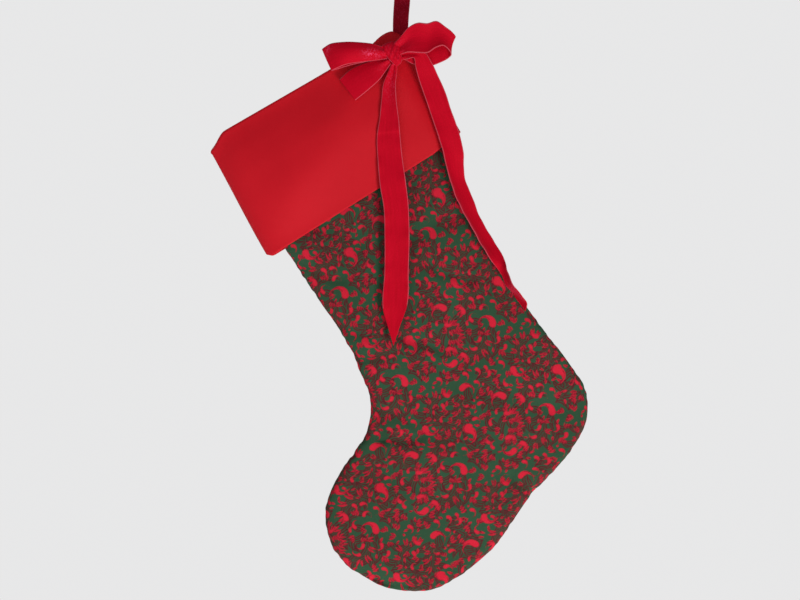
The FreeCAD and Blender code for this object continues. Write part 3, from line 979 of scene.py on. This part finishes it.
fleece_material = fleece()
lining_material = plain_cotton("lining_cotton", dark=(0.012, 0.042, 0.020), light=(0.030, 0.085, 0.045),
                               roughness=0.8, sheen=0.1, tint=(0.8, 0.9, 0.8), specular=0.3, threads=6500.0)
batting_front = inner_layer("batting_front_pad", front_columns, 0.9, 2.8)
batting_back = inner_layer("batting_back_pad", back_columns, 0.9, 2.8)
lining_front = inner_layer("lining_front_cloth", front_columns, 4.0, 0.5)
lining_back = inner_layer("lining_back_cloth", back_columns, 4.0, 0.5)
for piece, finish in ((batting_front, fleece_material), (batting_back, fleece_material),
                      (lining_front, lining_material), (lining_back, lining_material)):
    piece.data.materials.append(finish)

# %% [markdown]
# ## The cuff
# The cuff is one tube of plain red cotton sateen. It starts inside the mouth, turns over the top edge
# in a soft roll, and falls outside the leg to its hem, where it turns under. A simulation would sag
# and lose the sewn outline, so its path is a profile carried round the mouth: the share h says how far
# the path has left the inside and joined the outside. It is cut as a front and a back half, which
# meet in the side seams.

# %% Cuff profile
cuff_columns = 150
inside_depth, outside_depth = 4.6, 14.9
cuff_width, cuff_fall = 212.0, 118.0
turn_in, over_mouth, hem_turn = 10.5, 8.0, 9.0
steps_in, steps_fold, steps_out, steps_hem, steps_up = 10, 14, 96, 5, 8
fold_rise, fold_width = 3.4, 7.3


def fold_line(x):
    """Height of the top fold: level, lifted where the loop pulls, dropped at the toe corner."""
    lifted = 5.4 * np.exp(-(((x + 12.0) / 17.0) ** 2)) + 1.6 + 1.9 * smooth_step((-40.0 - x) / 30.0)
    return lifted - 8.0 * smooth_step((-188.0 - x) / 20.0) - 5.5 * smooth_step((x + 6.0) / 10.0)


def hem_line(x):
    """Height of the hem: nearly level, lifted towards the heel side, rounded at both corners."""
    level = -120.4 + 0.036 * (x + 209.0) + 4.6 * smooth_step((x + 34.0) / 42.0)
    return level + 4.0 * smooth_step((-205.0 - x) / 8.5) ** 2


def cuff_profile():
    """Steps down the cuff's path: share h of the outside, run down the outside, extra height, inset."""
    over = np.linspace(0, np.pi, steps_fold)
    bend = np.linspace(0, np.pi, steps_hem)
    h = np.concatenate([np.zeros(steps_in), (1 - np.cos(over)) / 2,
                        np.ones(steps_out + steps_hem + steps_up)])
    down = np.concatenate([np.zeros(steps_in + steps_fold), np.linspace(0, 1, steps_out + 1)[1:],
                           np.ones(steps_hem + steps_up)])
    lift = np.concatenate([-np.linspace(turn_in, 0.5, steps_in), fold_rise * np.sin(over),
                           np.zeros(steps_out), -0.9 * np.sin(bend), np.linspace(0.5, hem_turn, steps_up)])
    inset = np.concatenate([np.zeros(steps_in + steps_fold + steps_out), 0.9 * (1 - np.cos(bend)),
                            np.full(steps_up, 1.9)])
    return h[:, None], down[:, None], lift[:, None], inset[:, None]


def cuff_ring(columns):
    """The cuff's tube in upright millimetres, the side of each column and the flat coordinates."""
    share, down, lift, inset = cuff_profile()
    t, face = ring_steps(columns)
    t, face = t[None, :], face[None, :]
    nominal = cuff_fall * down
    left = -210.4 - 2.6 * smooth_step(nominal / 112.0)
    right = 1.8 + 2.8 * smooth_step(nominal / 112.0)
    in_x, in_y, in_run = swell(t, 97.0, inside_depth, 9.0, 0.05)
    half, centre = (right - left) / 2, (right + left) / 2
    slope = 6.0 * smooth_step((-45.0 - centre - half * t) / 55.0) * (1 - smooth_step(nominal / 52.0 + 0.12))
    depth = outside_depth - 1.4 * (1 - smooth_step(nominal / 24.0)) - slope
    out_x, out_y, out_run = swell(t, half - 0.55 * inset, depth - inset, 32.0, 0.05)
    x = (1 - share) * (in_x - 100.8) + share * (out_x + centre)
    y = (1 - share) * in_y + share * out_y
    fold, hem = fold_line(x) - fold_rise, hem_line(x)
    flatter_at_seam = 1.0 - 0.35 * (np.abs(t) > 0.985)
    z = fold + lift * flatter_at_seam + down * (hem - fold)
    path_steps = np.hypot(np.diff(z.mean(1)), np.diff(share[:, 0] * fold_width))
    path = np.concatenate([[0.0], np.cumsum(path_steps)])
    flat = np.stack(np.broadcast_arrays(out_run, -path[:, None]), -1)
    return x, y, z, face, flat, nominal


cuff_x, cuff_y, cuff_z, cuff_face, cuff_flat, cuff_run = cuff_ring(cuff_columns)
print("cuff ring", cuff_x.shape, "falls from", cuff_z.max().round(1), "to", cuff_z.min().round(1), "mm")


# %% Drape of the cuff
def cuff_drape(x, z):
    """How far the cloth stands out, in millimetres.

    A broad swell runs above the hem, slack folds fan from the bow's tack, and the hem dips."""
    swell_band = 3.6 * np.exp(-(((z + 66.0 - 0.21 * (x + 115.0)) / 26.0) ** 2))
    swell_band = swell_band * smooth_step((x + 214) / 60) * (0.25 + 0.75 * smooth_step((-38.0 - x) / 30.0))
    away_x, away_z = x + 17.5, z + 10.0
    reach = np.hypot(away_x, away_z)
    folds = np.sin(11.0 * np.arctan2(away_z, away_x) + 0.6)
    pull = 0.55 * folds * smooth_step(reach / 60.0) * np.exp(-reach / 130.0)
    dip = -1.6 * np.exp(-(((z + 119.0) / 16.0) ** 2))
    return swell_band + pull + dip + 0.35 * ripple(x, (41, 67, 97), 11) * smooth_step(-z / 60.0)


drape_share = smooth_step(cuff_run / 30.0) * smooth_step((14.0 - np.abs(15.6 - cuff_y)) / 14.0)
stand_out = cuff_drape(cuff_x, cuff_z) * drape_share
side_seam = np.exp(-((cuff_y / 1.3) ** 2)) * smooth_step(cuff_run / 3.0)
cuff_x = cuff_x - 0.6 * side_seam * np.sign(cuff_x + 105.0)
cuff = hang(cuff_x, cuff_face * (cuff_y + stand_out), cuff_z)
print("cuff depth", (np.abs(cuff[..., 1]).max() / mm).round(1), "mm, top", (cuff[..., 2].max() / mm).round(1))


def cuff_half(name, columns):
    """Half of the cuff's tube, cut at both side seams and given its thickness inward."""
    mesh = grid_mesh(name, cuff[:, columns], cuff_flat[:, columns] * mm, turned=True)
    weld(mesh)
    piece = thicken(link_piece(name, mesh), 0.9 * mm, -1.0)
    return report(piece)


cuff_front_columns = np.arange(cuff_columns + 1)
cuff_back_columns = (cuff_front_columns + cuff_columns) % (2 * cuff_columns)
cuff_front = cuff_half("cuff_front_cloth", cuff_front_columns)
cuff_back = cuff_half("cuff_back_cloth", cuff_back_columns)


# %% Facing behind the cuff
facing_every, facing_inset = 3, 2.0
facing_rows = slice(steps_in + steps_fold + 2, steps_in + steps_fold + steps_out - 1, facing_every)


def facing_half(name, columns):
    """The cuff's second layer: the outside's own grid, moved in by the cloth and a little air."""
    pick = columns[::facing_every]
    points = (cuff - ring_normals(cuff) * facing_inset * mm)[facing_rows][:, pick]
    mesh = grid_mesh(name, points, cuff_flat[facing_rows][:, pick] * mm, turned=True)
    return report(thicken(link_piece(name, mesh), 0.5 * mm, -1.0))


facing_front = facing_half("cuff_facing_front_cloth", cuff_front_columns)
facing_back = facing_half("cuff_facing_back_cloth", cuff_back_columns)
cuff_material = plain_cotton("cuff_sateen", dark=(0.62, 0.0030, 0.012), light=(0.80, 0.006, 0.020),
                             roughness=0.50, sheen=0.03, tint=(1.0, 0.3, 0.35), specular=0.16, threads=7500.0)
# Painted shade: the facing is the cuff's red cotton made darker, because it lies in the shade inside the cuff.
shaded_facing_material = plain_cotton("facing_cotton_shaded", dark=(0.36, 0.004, 0.013), light=(0.50, 0.008, 0.024),
                               roughness=0.75, sheen=0.03, tint=(1.0, 0.5, 0.5), specular=0.16, threads=6500.0)
for piece in (cuff_front, cuff_back):
    piece.data.materials.append(cuff_material)
for piece in (facing_front, facing_back):
    piece.data.materials.append(shaded_facing_material)

# %% [markdown]
# ## Velvet ribbon
# Velvet is dark where one looks down into its pile and light where the pile turns edge-on, at folds
# and bends. The shader's sheen gives that by itself. On top come the brushed streaks of the nap, the
# marks that the knot pressed into the pile, a painted highlight along the left loop's fold, and the
# pale woven edge that stops a ribbon from fraying.

# %% Velvet
def velvet(name, deep, lit, edge_colour, half_width, sheen_tint):
    """Pile between deep and lit by the brushed streaks, paler where pressed flat and in a painted fold
    highlight, with a woven edge.
    """
    material, tree, shader, uv, place = start_cloth(name, 0.72, 0.6, 0.30, sheen_tint, 0.08)
    dye = use(tree, dye_group, {"Place": place, "Coarse": 45.0, "Fine": 900.0})
    edge = use(tree, edge_group, {"Cloth": uv, "Half width": half_width, "Edge": 0.00065})
    brushed = add(tree, "Mapping", {"Vector": uv, "Scale": (420.0, 26.0, 1.0)}).outputs[0]
    streaks = {"Vector": brushed, "Scale": 1.0, "Detail": 4.0, "Roughness": 0.6}
    streak = add(tree, "TexNoise", streaks).outputs[0]
    crush_and_fold_sheen = add(tree, "Attribute", attribute_name="crush_and_fold_sheen").outputs["Fac"]
    blotch = add(tree, "TexNoise", {"Vector": place, "Scale": 700.0, "Detail": 2.0}).outputs[0]
    # Paler pink where the pile was pressed, and along the left loop's fold, where the same pink is a painted
    # highlight.
    crush_and_sheen_share = sums(tree, "MULTIPLY", ramp(tree, blotch, 0.46, 0.68), crush_and_fold_sheen)
    nap = sums(tree, "MULTIPLY_ADD", streak, 0.55, sums(tree, "MULTIPLY_ADD", dye["Small"], 0.25, -0.12))
    pile = blend_colour(tree, nap, deep, lit)
    pile_marked_and_sheened = blend_colour(tree, crush_and_sheen_share, pile, (0.80, 0.055, 0.14))
    woven = blend_colour(tree, edge["Ribs"], edge_colour, tuple(0.7 * c for c in edge_colour))
    tree.links.new(blend_colour(tree, edge["Mask"], pile_marked_and_sheened, woven), shader.inputs["Base Color"])
    lift = sums(tree, "MULTIPLY_ADD", streak, 0.5, sums(tree, "MULTIPLY", dye["Small"], 0.8))
    soft = bump(tree, shader, blotch, 0.0003, 0.4)
    bump(tree, shader, lift, 0.0002, 0.7, soft)
    return material


bow_velvet = velvet("bow_velvet", deep=(0.47, 0.000, 0.009), lit=(0.86, 0.001, 0.032),
                    edge_colour=(0.72, 0.08, 0.12), half_width=0.0127, sheen_tint=(1.0, 0.12, 0.24))
loop_velvet = velvet("loop_velvet", deep=(0.25, 0.000, 0.008), lit=(0.42, 0.002, 0.020),
                     edge_colour=(0.60, 0.07, 0.10), half_width=0.00775, sheen_tint=(1.0, 0.20, 0.30))
print("velvets:", bow_velvet.name, loop_velvet.name)

# %% [markdown]
# ## Ribbons as ruled strips
# A length of ribbon is drawn by its two edges. Each station gives the place of both edges beside the
# knot and how far the strip cups between them. Smooth paths run through the stations, and the
# strip's points lie between the edges. The bow is tied from one ribbon, so its loops start and end
# inside the knot, and each tail has its own length.

# %% Draw a strip
knot_low, knot_high = (np.array(c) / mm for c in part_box("bow_knot"))
knot = (knot_low + knot_high) / 2
bow_face = knot_high[1]
ribbon_half, ribbon_thickness = 12.7, 0.8


def strip(stations, rows, columns, half_width, wave=0.35, seed=1, point=0.0, pleat=(0.0, 1.0)):
    """Points of a ribbon between two edge paths, in metres, its flat coordinates and its length, in mm.

    Each station is (x, z, y) of one edge, (x, z, y) of the other and the cup, in millimetres from the
    knot's centre and the bow's back plane. The strip bulges by cup times 1 - t squared, ripples
    lightly, and is pleated by pleat[0], which fades over pleat[1] from the knot. point is the length
    of a cut tip."""
    path = smooth_path(stations, rows)
    one, two, cup = path[:, None, [0, 2, 1]], path[:, None, [3, 5, 4]], path[:, 6, None]
    t = np.linspace(-1, 1, columns)[None, :]
    points = one * (1 - t[..., None]) / 2 + two * (1 + t[..., None]) / 2
    centre = (path[:, [0, 2, 1]] + path[:, [3, 5, 4]]) / 2
    along = np.concatenate([[0.0], np.cumsum(np.linalg.norm(np.diff(centre, axis=0), axis=1))])
    normal = np.cross(np.gradient(centre, axis=0), (two - one)[:, 0])
    normal /= np.maximum(np.linalg.norm(normal, axis=1, keepdims=True), 1e-9)
    s = along[:, None]
    edge_wave = wave * ripple(s + 9 * np.sign(t), (17, 26, 43), seed) * np.abs(t) ** 2
    body_wave = 0.5 * wave * ripple(s + 4 * t, (31, 52), seed + 20)
    folds = pleat[0] * np.cos(1.5 * np.pi * t + 0.4) * np.exp(-s / pleat[1])
    taper = np.minimum(1.0, (along[-1] - s) / point) if point else np.ones_like(s)
    freedom = smooth_step(s / 3.0 + 0.2) * np.minimum(1, 2 * taper)
    rise = (cup * (1 - t**2) + edge_wave + body_wave + folds) * freedom
    points = points + normal[:, None, :] * rise[..., None]
    flat = np.stack(np.broadcast_arrays(t * half_width * taper, s), -1)
    origin = np.array([knot[0], bow_face, knot[2]])
    return (points + origin) * mm, flat, along[-1]


def crush_and_sheen_marks(piece, amount):
    """Stores at each point how far the pile is pressed, with any painted fold highlight: amount(x, z) of the
    place beside the knot.
    """
    co = np.empty(len(piece.data.vertices) * 3, np.float32)
    piece.data.vertices.foreach_get("co", co)
    co = co.reshape(-1, 3) / mm
    layer = piece.data.attributes.new("crush_and_fold_sheen", "FLOAT", "POINT")
    layer.data.foreach_set("value", amount(co[:, 0] - knot[0], co[:, 2] - knot[2]).astype(np.float32))


def near_knot(x, z):
    """Pressed flat most where the left loop was pinched, less below the knot and beside it; at the loop's turn,
    a painted fold highlight.
    """
    pinched = 1.2 * np.exp(-(((x + 18.5) / 7.5) ** 2) - ((z + 1.0) / 3.6) ** 2)
    # Painted highlight: a pale stripe along the left loop's turn stands in for the sheen of the fold.
    turned = 0.7 * np.exp(-(((x + 62.0 - 0.42 * (z + 6.0)) / 2.6) ** 2))
    below = 0.3 * np.exp(-(((x - 1.0) / 9.0) ** 2) - ((z + 30.0) / 14.0) ** 2)
    return pinched + turned + below + 0.25 * np.clip(1.15 - np.hypot(x, z) / 22.0, 0, 1)


def lightly_worn(x, z):
    """The same light wear all over."""
    return np.full(len(x), 0.15)


def ribbon_piece(name, grid, flat, finish, amount=near_knot):
    """A strip given its thickness, its velvet, and its marks of pressed pile with any painted fold highlight.
    """
    mesh = grid_mesh(name, grid, flat * mm)
    weld(mesh)
    piece = thicken(link_piece(name, mesh), ribbon_thickness * mm)
    piece.data.materials.append(finish)
    crush_and_sheen_marks(piece, amount)
    return report(piece)


# %% Bow loops
left_stations = [
    (-4.0, 5.0, -8.0, -3.5, -5.0, -8.0, 0.5), (-13.2, 7.5, -13.5, -11.3, -6.6, -12.0, 2.5),
    (-28.2, 9.1, -16.5, -26.3, -8.5, -15.0, 4.0), (-45.0, 9.4, -16.5, -40.4, -11.1, -16.5, 3.5),
    (-57.0, 7.8, -14.0, -49.6, -14.4, -14.5, 1.5), (-63.4, 3.8, -9.5, -54.6, -16.4, -10.0, 0.4),
    (-60.5, 5.0, -6.0, -51.5, -15.0, -6.5, 0.6), (-46.0, 6.8, -4.6, -39.0, -11.0, -5.0, 0.8),
    (-23.0, 5.6, -4.8, -20.0, -6.8, -5.0, 0.8), (-3.0, 4.0, -6.0, -3.0, -4.0, -6.0, 0.2),
]
right_stations = [
    (3.0, 8.5, -8.0, 4.0, -3.0, -8.0, 0.2), (8.5, 14.0, -12.5, 11.0, -0.8, -11.5, 1.5),
    (17.0, 23.5, -15.5, 17.6, 0.3, -15.0, 2.5), (25.5, 27.2, -18.0, 26.8, -0.5, -17.0, 3.0),
    (34.0, 26.6, -18.5, 34.5, -0.6, -18.0, 3.5), (43.0, 29.0, -17.5, 42.0, 4.0, -19.0, 3.0),
    (51.0, 24.0, -15.5, 49.3, 5.9, -18.5, 2.5), (56.8, 20.0, -13.5, 54.2, 2.6, -15.5, 1.8),
    (60.4, 15.6, -10.5, 56.6, -1.6, -11.0, 1.0), (59.0, 14.0, -7.0, 54.8, -4.0, -7.0, 1.0),
    (50.0, 14.5, -5.0, 47.0, -8.0, -5.2, 1.2), (37.0, 14.0, -4.0, 36.0, -11.2, -4.6, 1.2),
    (24.0, 12.5, -4.0, 22.5, -10.0, -4.6, 1.0), (12.0, 8.0, -4.6, 12.0, -5.0, -5.0, 0.6),
    (3.0, 4.0, -6.0, 3.0, -3.5, -6.0, 0.2),
]
left_grid, left_flat, left_length = strip(left_stations, 130, 22, ribbon_half, 0.35, 3, pleat=(1.3, 12.0))
right_grid, right_flat, right_length = strip(right_stations, 140, 22, ribbon_half, 0.35, 8, pleat=(1.3, 13.0))
bow_left = ribbon_piece("bow_loop_left_ribbon", left_grid, left_flat, bow_velvet)
bow_right = ribbon_piece("bow_loop_right_ribbon", right_grid, right_flat, bow_velvet)

# %% Tails of the bow
short_stations = [
    (-3.5, -3.5, -4.0, 0.8, -8.5, -4.5, 0.2), (-15.0, -5.5, -2.0, -4.6, -16.2, -3.6, 1.2),
    (-27.0, -9.0, -1.2, -10.8, -24.6, -3.6, 1.4), (-38.0, -14.4, -1.2, -21.8, -34.4, -3.0, 1.2),
    (-47.9, -23.5, -1.6, -32.9, -43.2, -2.6, 0.8),
]
centre_stations = [
    (6.0, -9.0, -5.0, 0.8, -9.0, -5.0, 0.2), (6.1, -16.0, -3.6, -1.8, -16.0, -3.4, 0.8),
    (5.0, -27.0, -3.6, -6.4, -27.0, -3.2, 1.6), (5.6, -44.0, -3.8, -8.5, -44.0, -3.2, 1.8),
    (7.9, -62.0, -3.6, -10.3, -61.0, -3.2, 1.2), (9.0, -74.0, -3.0, -12.6, -76.0, -3.0, 0.6),
    (11.0, -95.0, -2.6, -12.0, -98.0, -2.8, 0.8), (14.2, -118.0, -2.6, -9.7, -124.0, -2.6, 0.8),
    (16.6, -138.0, -1.8, -6.6, -142.0, -1.8, 0.8), (17.8, -171.0, -0.6, -5.5, -173.0, -0.6, 1.0),
    (17.0, -201.0, 0.2, -5.6, -203.0, 0.2, 1.0), (15.4, -236.0, 0.6, -6.9, -239.5, 0.6, 0.8),
    (8.9, -254.5, 0.7, -2.1, -256.3, 0.7, 0.6),
    (2.8, -273.1, 0.8, 2.8, -273.1, 0.8, 0.4),
]
right_tail_stations = [
    (8.0, 1.0, -8.0, 7.0, -6.0, -7.0, 0.2), (21.0, 4.5, -9.5, 15.0, -5.5, -8.5, 0.8),
    (32.0, 1.0, -9.5, 21.8, -4.4, -10.0, 1.2), (38.8, -9.0, -7.5, 23.4, -12.5, -9.0, 1.6),
    (44.7, -20.7, -4.5, 26.6, -24.0, -6.5, 1.8), (50.8, -34.0, -3.0, 31.6, -38.5, -4.5, 1.8),
    (57.3, -53.6, -1.0, 37.6, -55.5, -3.4, 1.8), (63.6, -70.0, 1.0, 42.6, -70.5, -3.0, 1.8),
    (68.6, -91.2, 5.0, 48.6, -89.0, -3.4, 2.4), (69.8, -112.8, 9.5, 54.8, -114.0, -3.4, 3.0),
    (75.6, -130.0, 10.0, 61.0, -132.5, -3.0, 3.0), (86.6, -156.0, 10.0, 72.2, -155.0, -2.6, 3.0),
    (97.0, -174.0, 9.0, 82.8, -173.5, -2.4, 3.0), (106.4, -190.0, 5.0, 90.5, -187.5, -2.0, 2.4),
    (110.0, -205.0, -5.0, 104.6, -207.0, 7.0, 1.0), (114.0, -215.5, -8.0, 109.6, -217.0, 11.0, 0.5),
    (122.6, -226.0, -6.0, 117.0, -225.5, 12.0, 0.4), (127.6, -233.0, -1.0, 121.2, -232.0, 9.0, 0.2),
    (126.6, -240.6, 4.0, 126.6, -240.6, 4.0, 0.1),
]
short_grid, short_flat, short_length = strip(short_stations, 60, 22, ribbon_half, 0.25, 12, pleat=(1.0, 9.0))
centre_grid, centre_flat, centre_length = strip(centre_stations, 230, 22, ribbon_half, 0.45, 15,
                                                point=38.0, pleat=(1.2, 16.0))
tail_grid, tail_flat, tail_length = strip(right_tail_stations, 240, 22, ribbon_half, 0.40, 19,
                                          point=26.0, pleat=(1.0, 12.0))
old_fold, fold_step = 65.0, 0.3
centre_grid[..., 1] += fold_step * np.tanh((centre_flat[..., 1] - old_fold) / 0.8) * mm
short_tail = ribbon_piece("bow_short_tail_ribbon", short_grid, short_flat, bow_velvet)
centre_tail = ribbon_piece("bow_centre_tail_ribbon", centre_grid, centre_flat, bow_velvet)
right_tail = ribbon_piece("bow_right_tail_ribbon", tail_grid, tail_flat, bow_velvet)
bow_lengths = (left_length, right_length, short_length, centre_length, tail_length)
print("bow's ribbon, in mm: left loop, right loop, short, centre and right tail", np.round(bow_lengths, 1))

# %% [markdown]
# ## The knot
# The knot is the ribbon wrapped once round the gathered middle. A tied ribbon could be simulated, but
# it would never come out the same twice, so the knot is drawn as a squat pillow between a left and a
# right outline that lean to the lower right, with the folds of the wrap pressed in.

# %% Knot
knot_half_height, knot_half_depth, knot_stand = 11.5, 6.4, 6.5
knot_outline = [
    (11.4, 0.0, 6.6), (9.4, -5.2, 8.2), (6.6, -9.2, 8.9), (2.8, -7.2, 9.6), (-1.2, -4.4, 10.6),
    (-5.6, -1.4, 11.2), (-9.0, 2.2, 9.8), (-11.5, 5.2, 6.6),
]
knot_folds = [
    (0.5, 11.0, 8.5, -3.0, 1.5, 1.3), (-4.0, 9.5, 5.6, -8.0, 0.9, 1.2), (4.4, 11.0, 9.6, 1.0, 0.9, 1.0),
    (-6.5, 5.0, 1.0, -3.5, 0.7, 1.3),
]


def knot_grid(rows, columns):
    """A closed pillow: height follows the sine of the turn round the wrap, depth its cosine, and the
    depth closes to nothing at both sides as the root of 1 - v to the fourth."""
    outline = np.array(knot_outline)
    turn = np.linspace(0, 2 * np.pi, rows)[:, None]
    v = np.sin(np.linspace(-np.pi / 2, np.pi / 2, columns))[None, :]
    z = np.repeat(knot_half_height * np.sin(turn), columns, axis=1)
    left = np.interp(-z, -outline[:, 0], outline[:, 1])
    right = np.interp(-z, -outline[:, 0], outline[:, 2])
    x = (left + right) / 2 + (right - left) / 2 * v
    depth = knot_half_depth * np.cos(turn) * np.sqrt(np.maximum(1 - v**4, 0))
    for fold in knot_folds:
        depth = depth - crease_depth(x, z, *fold) * np.clip(np.cos(turn) * 2, 0, 1)
    depth = depth + 0.35 * np.cos(turn) * ripple(x - 0.35 * z, (4.2, 6.7), 31) * (1 - v**4)
    points = np.stack([x, -knot_stand - depth, z], -1) + np.array([knot[0], bow_face, knot[2]])
    flat = np.stack(np.broadcast_arrays(v * ribbon_half * 0.99, turn * 9.5), -1)
    return points * mm, flat


knot_points, knot_flat = knot_grid(97, 49)
knot_mesh = grid_mesh("bow_knot_wrap", knot_points, knot_flat * mm)
weld(knot_mesh, 2e-5, outward=True)
bow_knot = link_piece("bow_knot_wrap", knot_mesh)
knot_mesh.materials.append(bow_velvet)
crush_and_sheen_marks(bow_knot, lightly_worn)
report(bow_knot)

# %% [markdown]
# ## The hanging loop
# One piece of narrower, darker velvet: up from the seam, over the hook and back down to the seam. It
# hangs straight under its load, so nothing needs to be simulated. Its side view is a smooth path with
# a half circle round the hook, and its width runs across.

# %% Hanging loop
loop_low, loop_high = (np.array(c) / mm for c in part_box("hanging_loop"))
sewn_low, _ = (np.array(c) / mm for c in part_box("loop_sewn_end"))
loop_half = 7.75
over_hook = loop_high[2] - 0.45


def loop_grid(rows, columns):
    """The side view is set by stations (y, z); the strip runs across x and leans a little with height."""
    turn = np.linspace(-0.1, np.pi + 0.1, 9)
    crown = np.stack([-over_hook * np.cos(turn), over_hook * np.sin(turn)], -1)
    front = [(-0.8, sewn_low[2] + 1.0), (-0.8, -74.0), (-0.9, -63.0), (-2.2, -46.0), (-3.9, -24.0)]
    back = [(-y, z) for y, z in front[::-1]]
    side_view = smooth_path(front + crown.tolist() + back, rows)
    y, z = side_view[:, :1], side_view[:, 1:]
    along = np.concatenate([[0.0], np.cumsum(np.linalg.norm(np.diff(side_view, axis=0), axis=1))])[:, None]
    t = np.linspace(-1, 1, columns)[None, :]
    lean = 1.0 * np.sin(np.clip(-z / 66.0, 0, 1) * np.pi * 1.6) * np.clip(-z / 8.0, 0, 1)
    x = loop_half * t * (1 - 0.06 * np.clip(-z / 60.0, 0, 1)) + lean
    way = np.gradient(side_view, axis=0)
    way /= np.linalg.norm(way, axis=1, keepdims=True)
    bulge = 0.6 * (1 - t**2) * np.clip(-z / 12.0, 0, 1) * np.clip((z + 62) / 10.0, 0, 1)
    bulge = bulge + 0.25 * ripple(along + 5 * t, (19, 31), 41) * np.clip((-z - 4) / 10.0, 0, 1)
    points = np.stack([x, y + bulge * -way[:, 1:], z + bulge * way[:, :1]], -1)
    return points * mm, np.stack(np.broadcast_arrays(t * loop_half, along), -1), float(along[-1, 0])


loop_points, loop_flat, loop_length = loop_grid(190, 16)
hanging = ribbon_piece("hanging_loop_ribbon", loop_points, loop_flat, loop_velvet, lightly_worn)
print("loop's ribbon", round(loop_length, 1), "mm")

# %% [markdown]
# ## Thread
# A bar tack holds the loop's ends, and a few stitches hold the bow. A bump could hint at stitches, but
# real strands catch the light at their edges, so each tack is a row of thin round tubes side by side.

# %% Tacks
def thread_finish():
    """Twisted thread: a fine slanting ply along each strand."""
    material, tree, shader, uv, place = start_cloth("polyester_thread", 0.45, 0.3, 0.3, (1.0, 0.6, 0.6), 0.5)
    dye = use(tree, dye_group, {"Place": place, "Coarse": 200.0, "Fine": 2500.0})
    dyed = blend_colour(tree, dye["Small"], (0.28, 0.004, 0.015), (0.55, 0.012, 0.035))
    tree.links.new(dyed, shader.inputs["Base Color"])
    strand = add(tree, "SeparateXYZ", {"Vector": uv}).outputs
    slant = sums(tree, "MULTIPLY", strand["X"], 6300.0)
    ply = sums(tree, "SINE", sums(tree, "MULTIPLY_ADD", strand["Y"], 9000.0, slant))
    bump(tree, shader, ply, 0.0001, 0.8)
    return material


tack_rows, tack_ring = 15, 9


def tack(name, node, strands, radius, finish):
    """Strands along the longest side of a node's box, each bowed outward a little, as one mesh.

    The faces that run from one strand's end to the next strand's start are taken out again."""
    lowest, highest = (np.array(c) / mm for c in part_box(node))
    size = highest - lowest
    long, wide, thin = np.argsort(-size)
    s = np.linspace(0, 1, tack_rows)[None, :, None]
    ring = np.linspace(0, 2 * np.pi, tack_ring)[None, None, :]
    lane = (np.arange(strands)[:, None, None] + 0.5) / strands
    middle_thin = (lowest[thin] + highest[thin]) / 2
    bow_out = (size[thin] / 2 - radius) * np.sin(np.pi * s) * np.cos(np.pi * lane * 3)
    points = np.zeros((strands, tack_rows, tack_ring, 3))
    points[..., long] = lowest[long] + size[long] * s
    thickness = radius * np.sin(np.pi * s * 0.96 + 0.06)
    points[..., wide] = lowest[wide] + size[wide] * lane + thickness * np.cos(ring)
    points[..., thin] = middle_thin + bow_out + radius * np.sin(ring)
    flat = np.stack(np.broadcast_arrays(ring * radius, s * size[long], lane)[:2], -1)
    mesh = grid_mesh(name, points.reshape(-1, tack_ring, 3) * mm, flat.reshape(-1, tack_ring, 2) * mm)
    longest_edge = max(1.6 * size[long] / (tack_rows - 1), 6 * radius) * mm
    work = bmesh.new()
    work.from_mesh(mesh)
    bridging = [f for f in work.faces if max(e.calc_length() for e in f.edges) > longest_edge]
    bmesh.ops.delete(work, geom=bridging, context="FACES_ONLY")
    bmesh.ops.remove_doubles(work, verts=work.verts, dist=1e-6)
    bmesh.ops.holes_fill(work, edges=[e for e in work.edges if e.is_boundary], sides=10)
    bmesh.ops.recalc_face_normals(work, faces=work.faces)
    work.to_mesh(mesh)
    work.free()
    mesh.materials.append(finish)
    print(node, "box", lowest.round(1), highest.round(1))
    return report(link_piece(name, mesh))


thread_material = thread_finish()
bar_tack = tack("loop_bar_tack_thread", "loop_bar_tack", 7, 0.30, thread_material)
bow_stitches = tack("bow_tack_thread", "bow_tack", 5, 0.35, thread_material)

# %% [markdown]
# ## What moves with what
# Everything sewn together rides on the stocking. The hanging loop bends where it leaves the seam, and
# each long tail bends just under the knot, so those three strips are kept apart: their shapes are fixed
# in place and their frame parts hidden.

# %% Ride on the stocking and hide the frame's parts
for piece, node, finish_slot in (
        (outer_front, "outer_front", "printed_cotton"), (outer_back, "outer_back", "printed_cotton"),
        (batting_front, "batting_front", "fleece"), (batting_back, "batting_back", "fleece"),
        (lining_front, "lining_front", "lining_cotton"), (lining_back, "lining_back", "lining_cotton"),
        (cuff_front, "cuff_front", "cuff_cotton"), (cuff_back, "cuff_back", "cuff_cotton"),
        (facing_front, "cuff_facing_front", "cuff_cotton"), (facing_back, "cuff_facing_back", "cuff_cotton"),
        (bow_left, "bow_loop_left", "bow_velvet"), (bow_right, "bow_loop_right", "bow_velvet"),
        (short_tail, "bow_short_tail", "bow_velvet"), (bow_knot, "bow_knot", "bow_velvet"),
        (bar_tack, "loop_bar_tack", "thread"), (bow_stitches, "bow_tack", "thread")):
    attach(piece, "stocking")
    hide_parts(node)

for piece, node, body in ((centre_tail, "bow_tail_centre", "centre_tail"),
                          (right_tail, "bow_tail_right", "right_tail")):
    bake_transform(piece)
    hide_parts(node)
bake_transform(hanging)
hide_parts("hanging_loop", "loop_sewn_end")
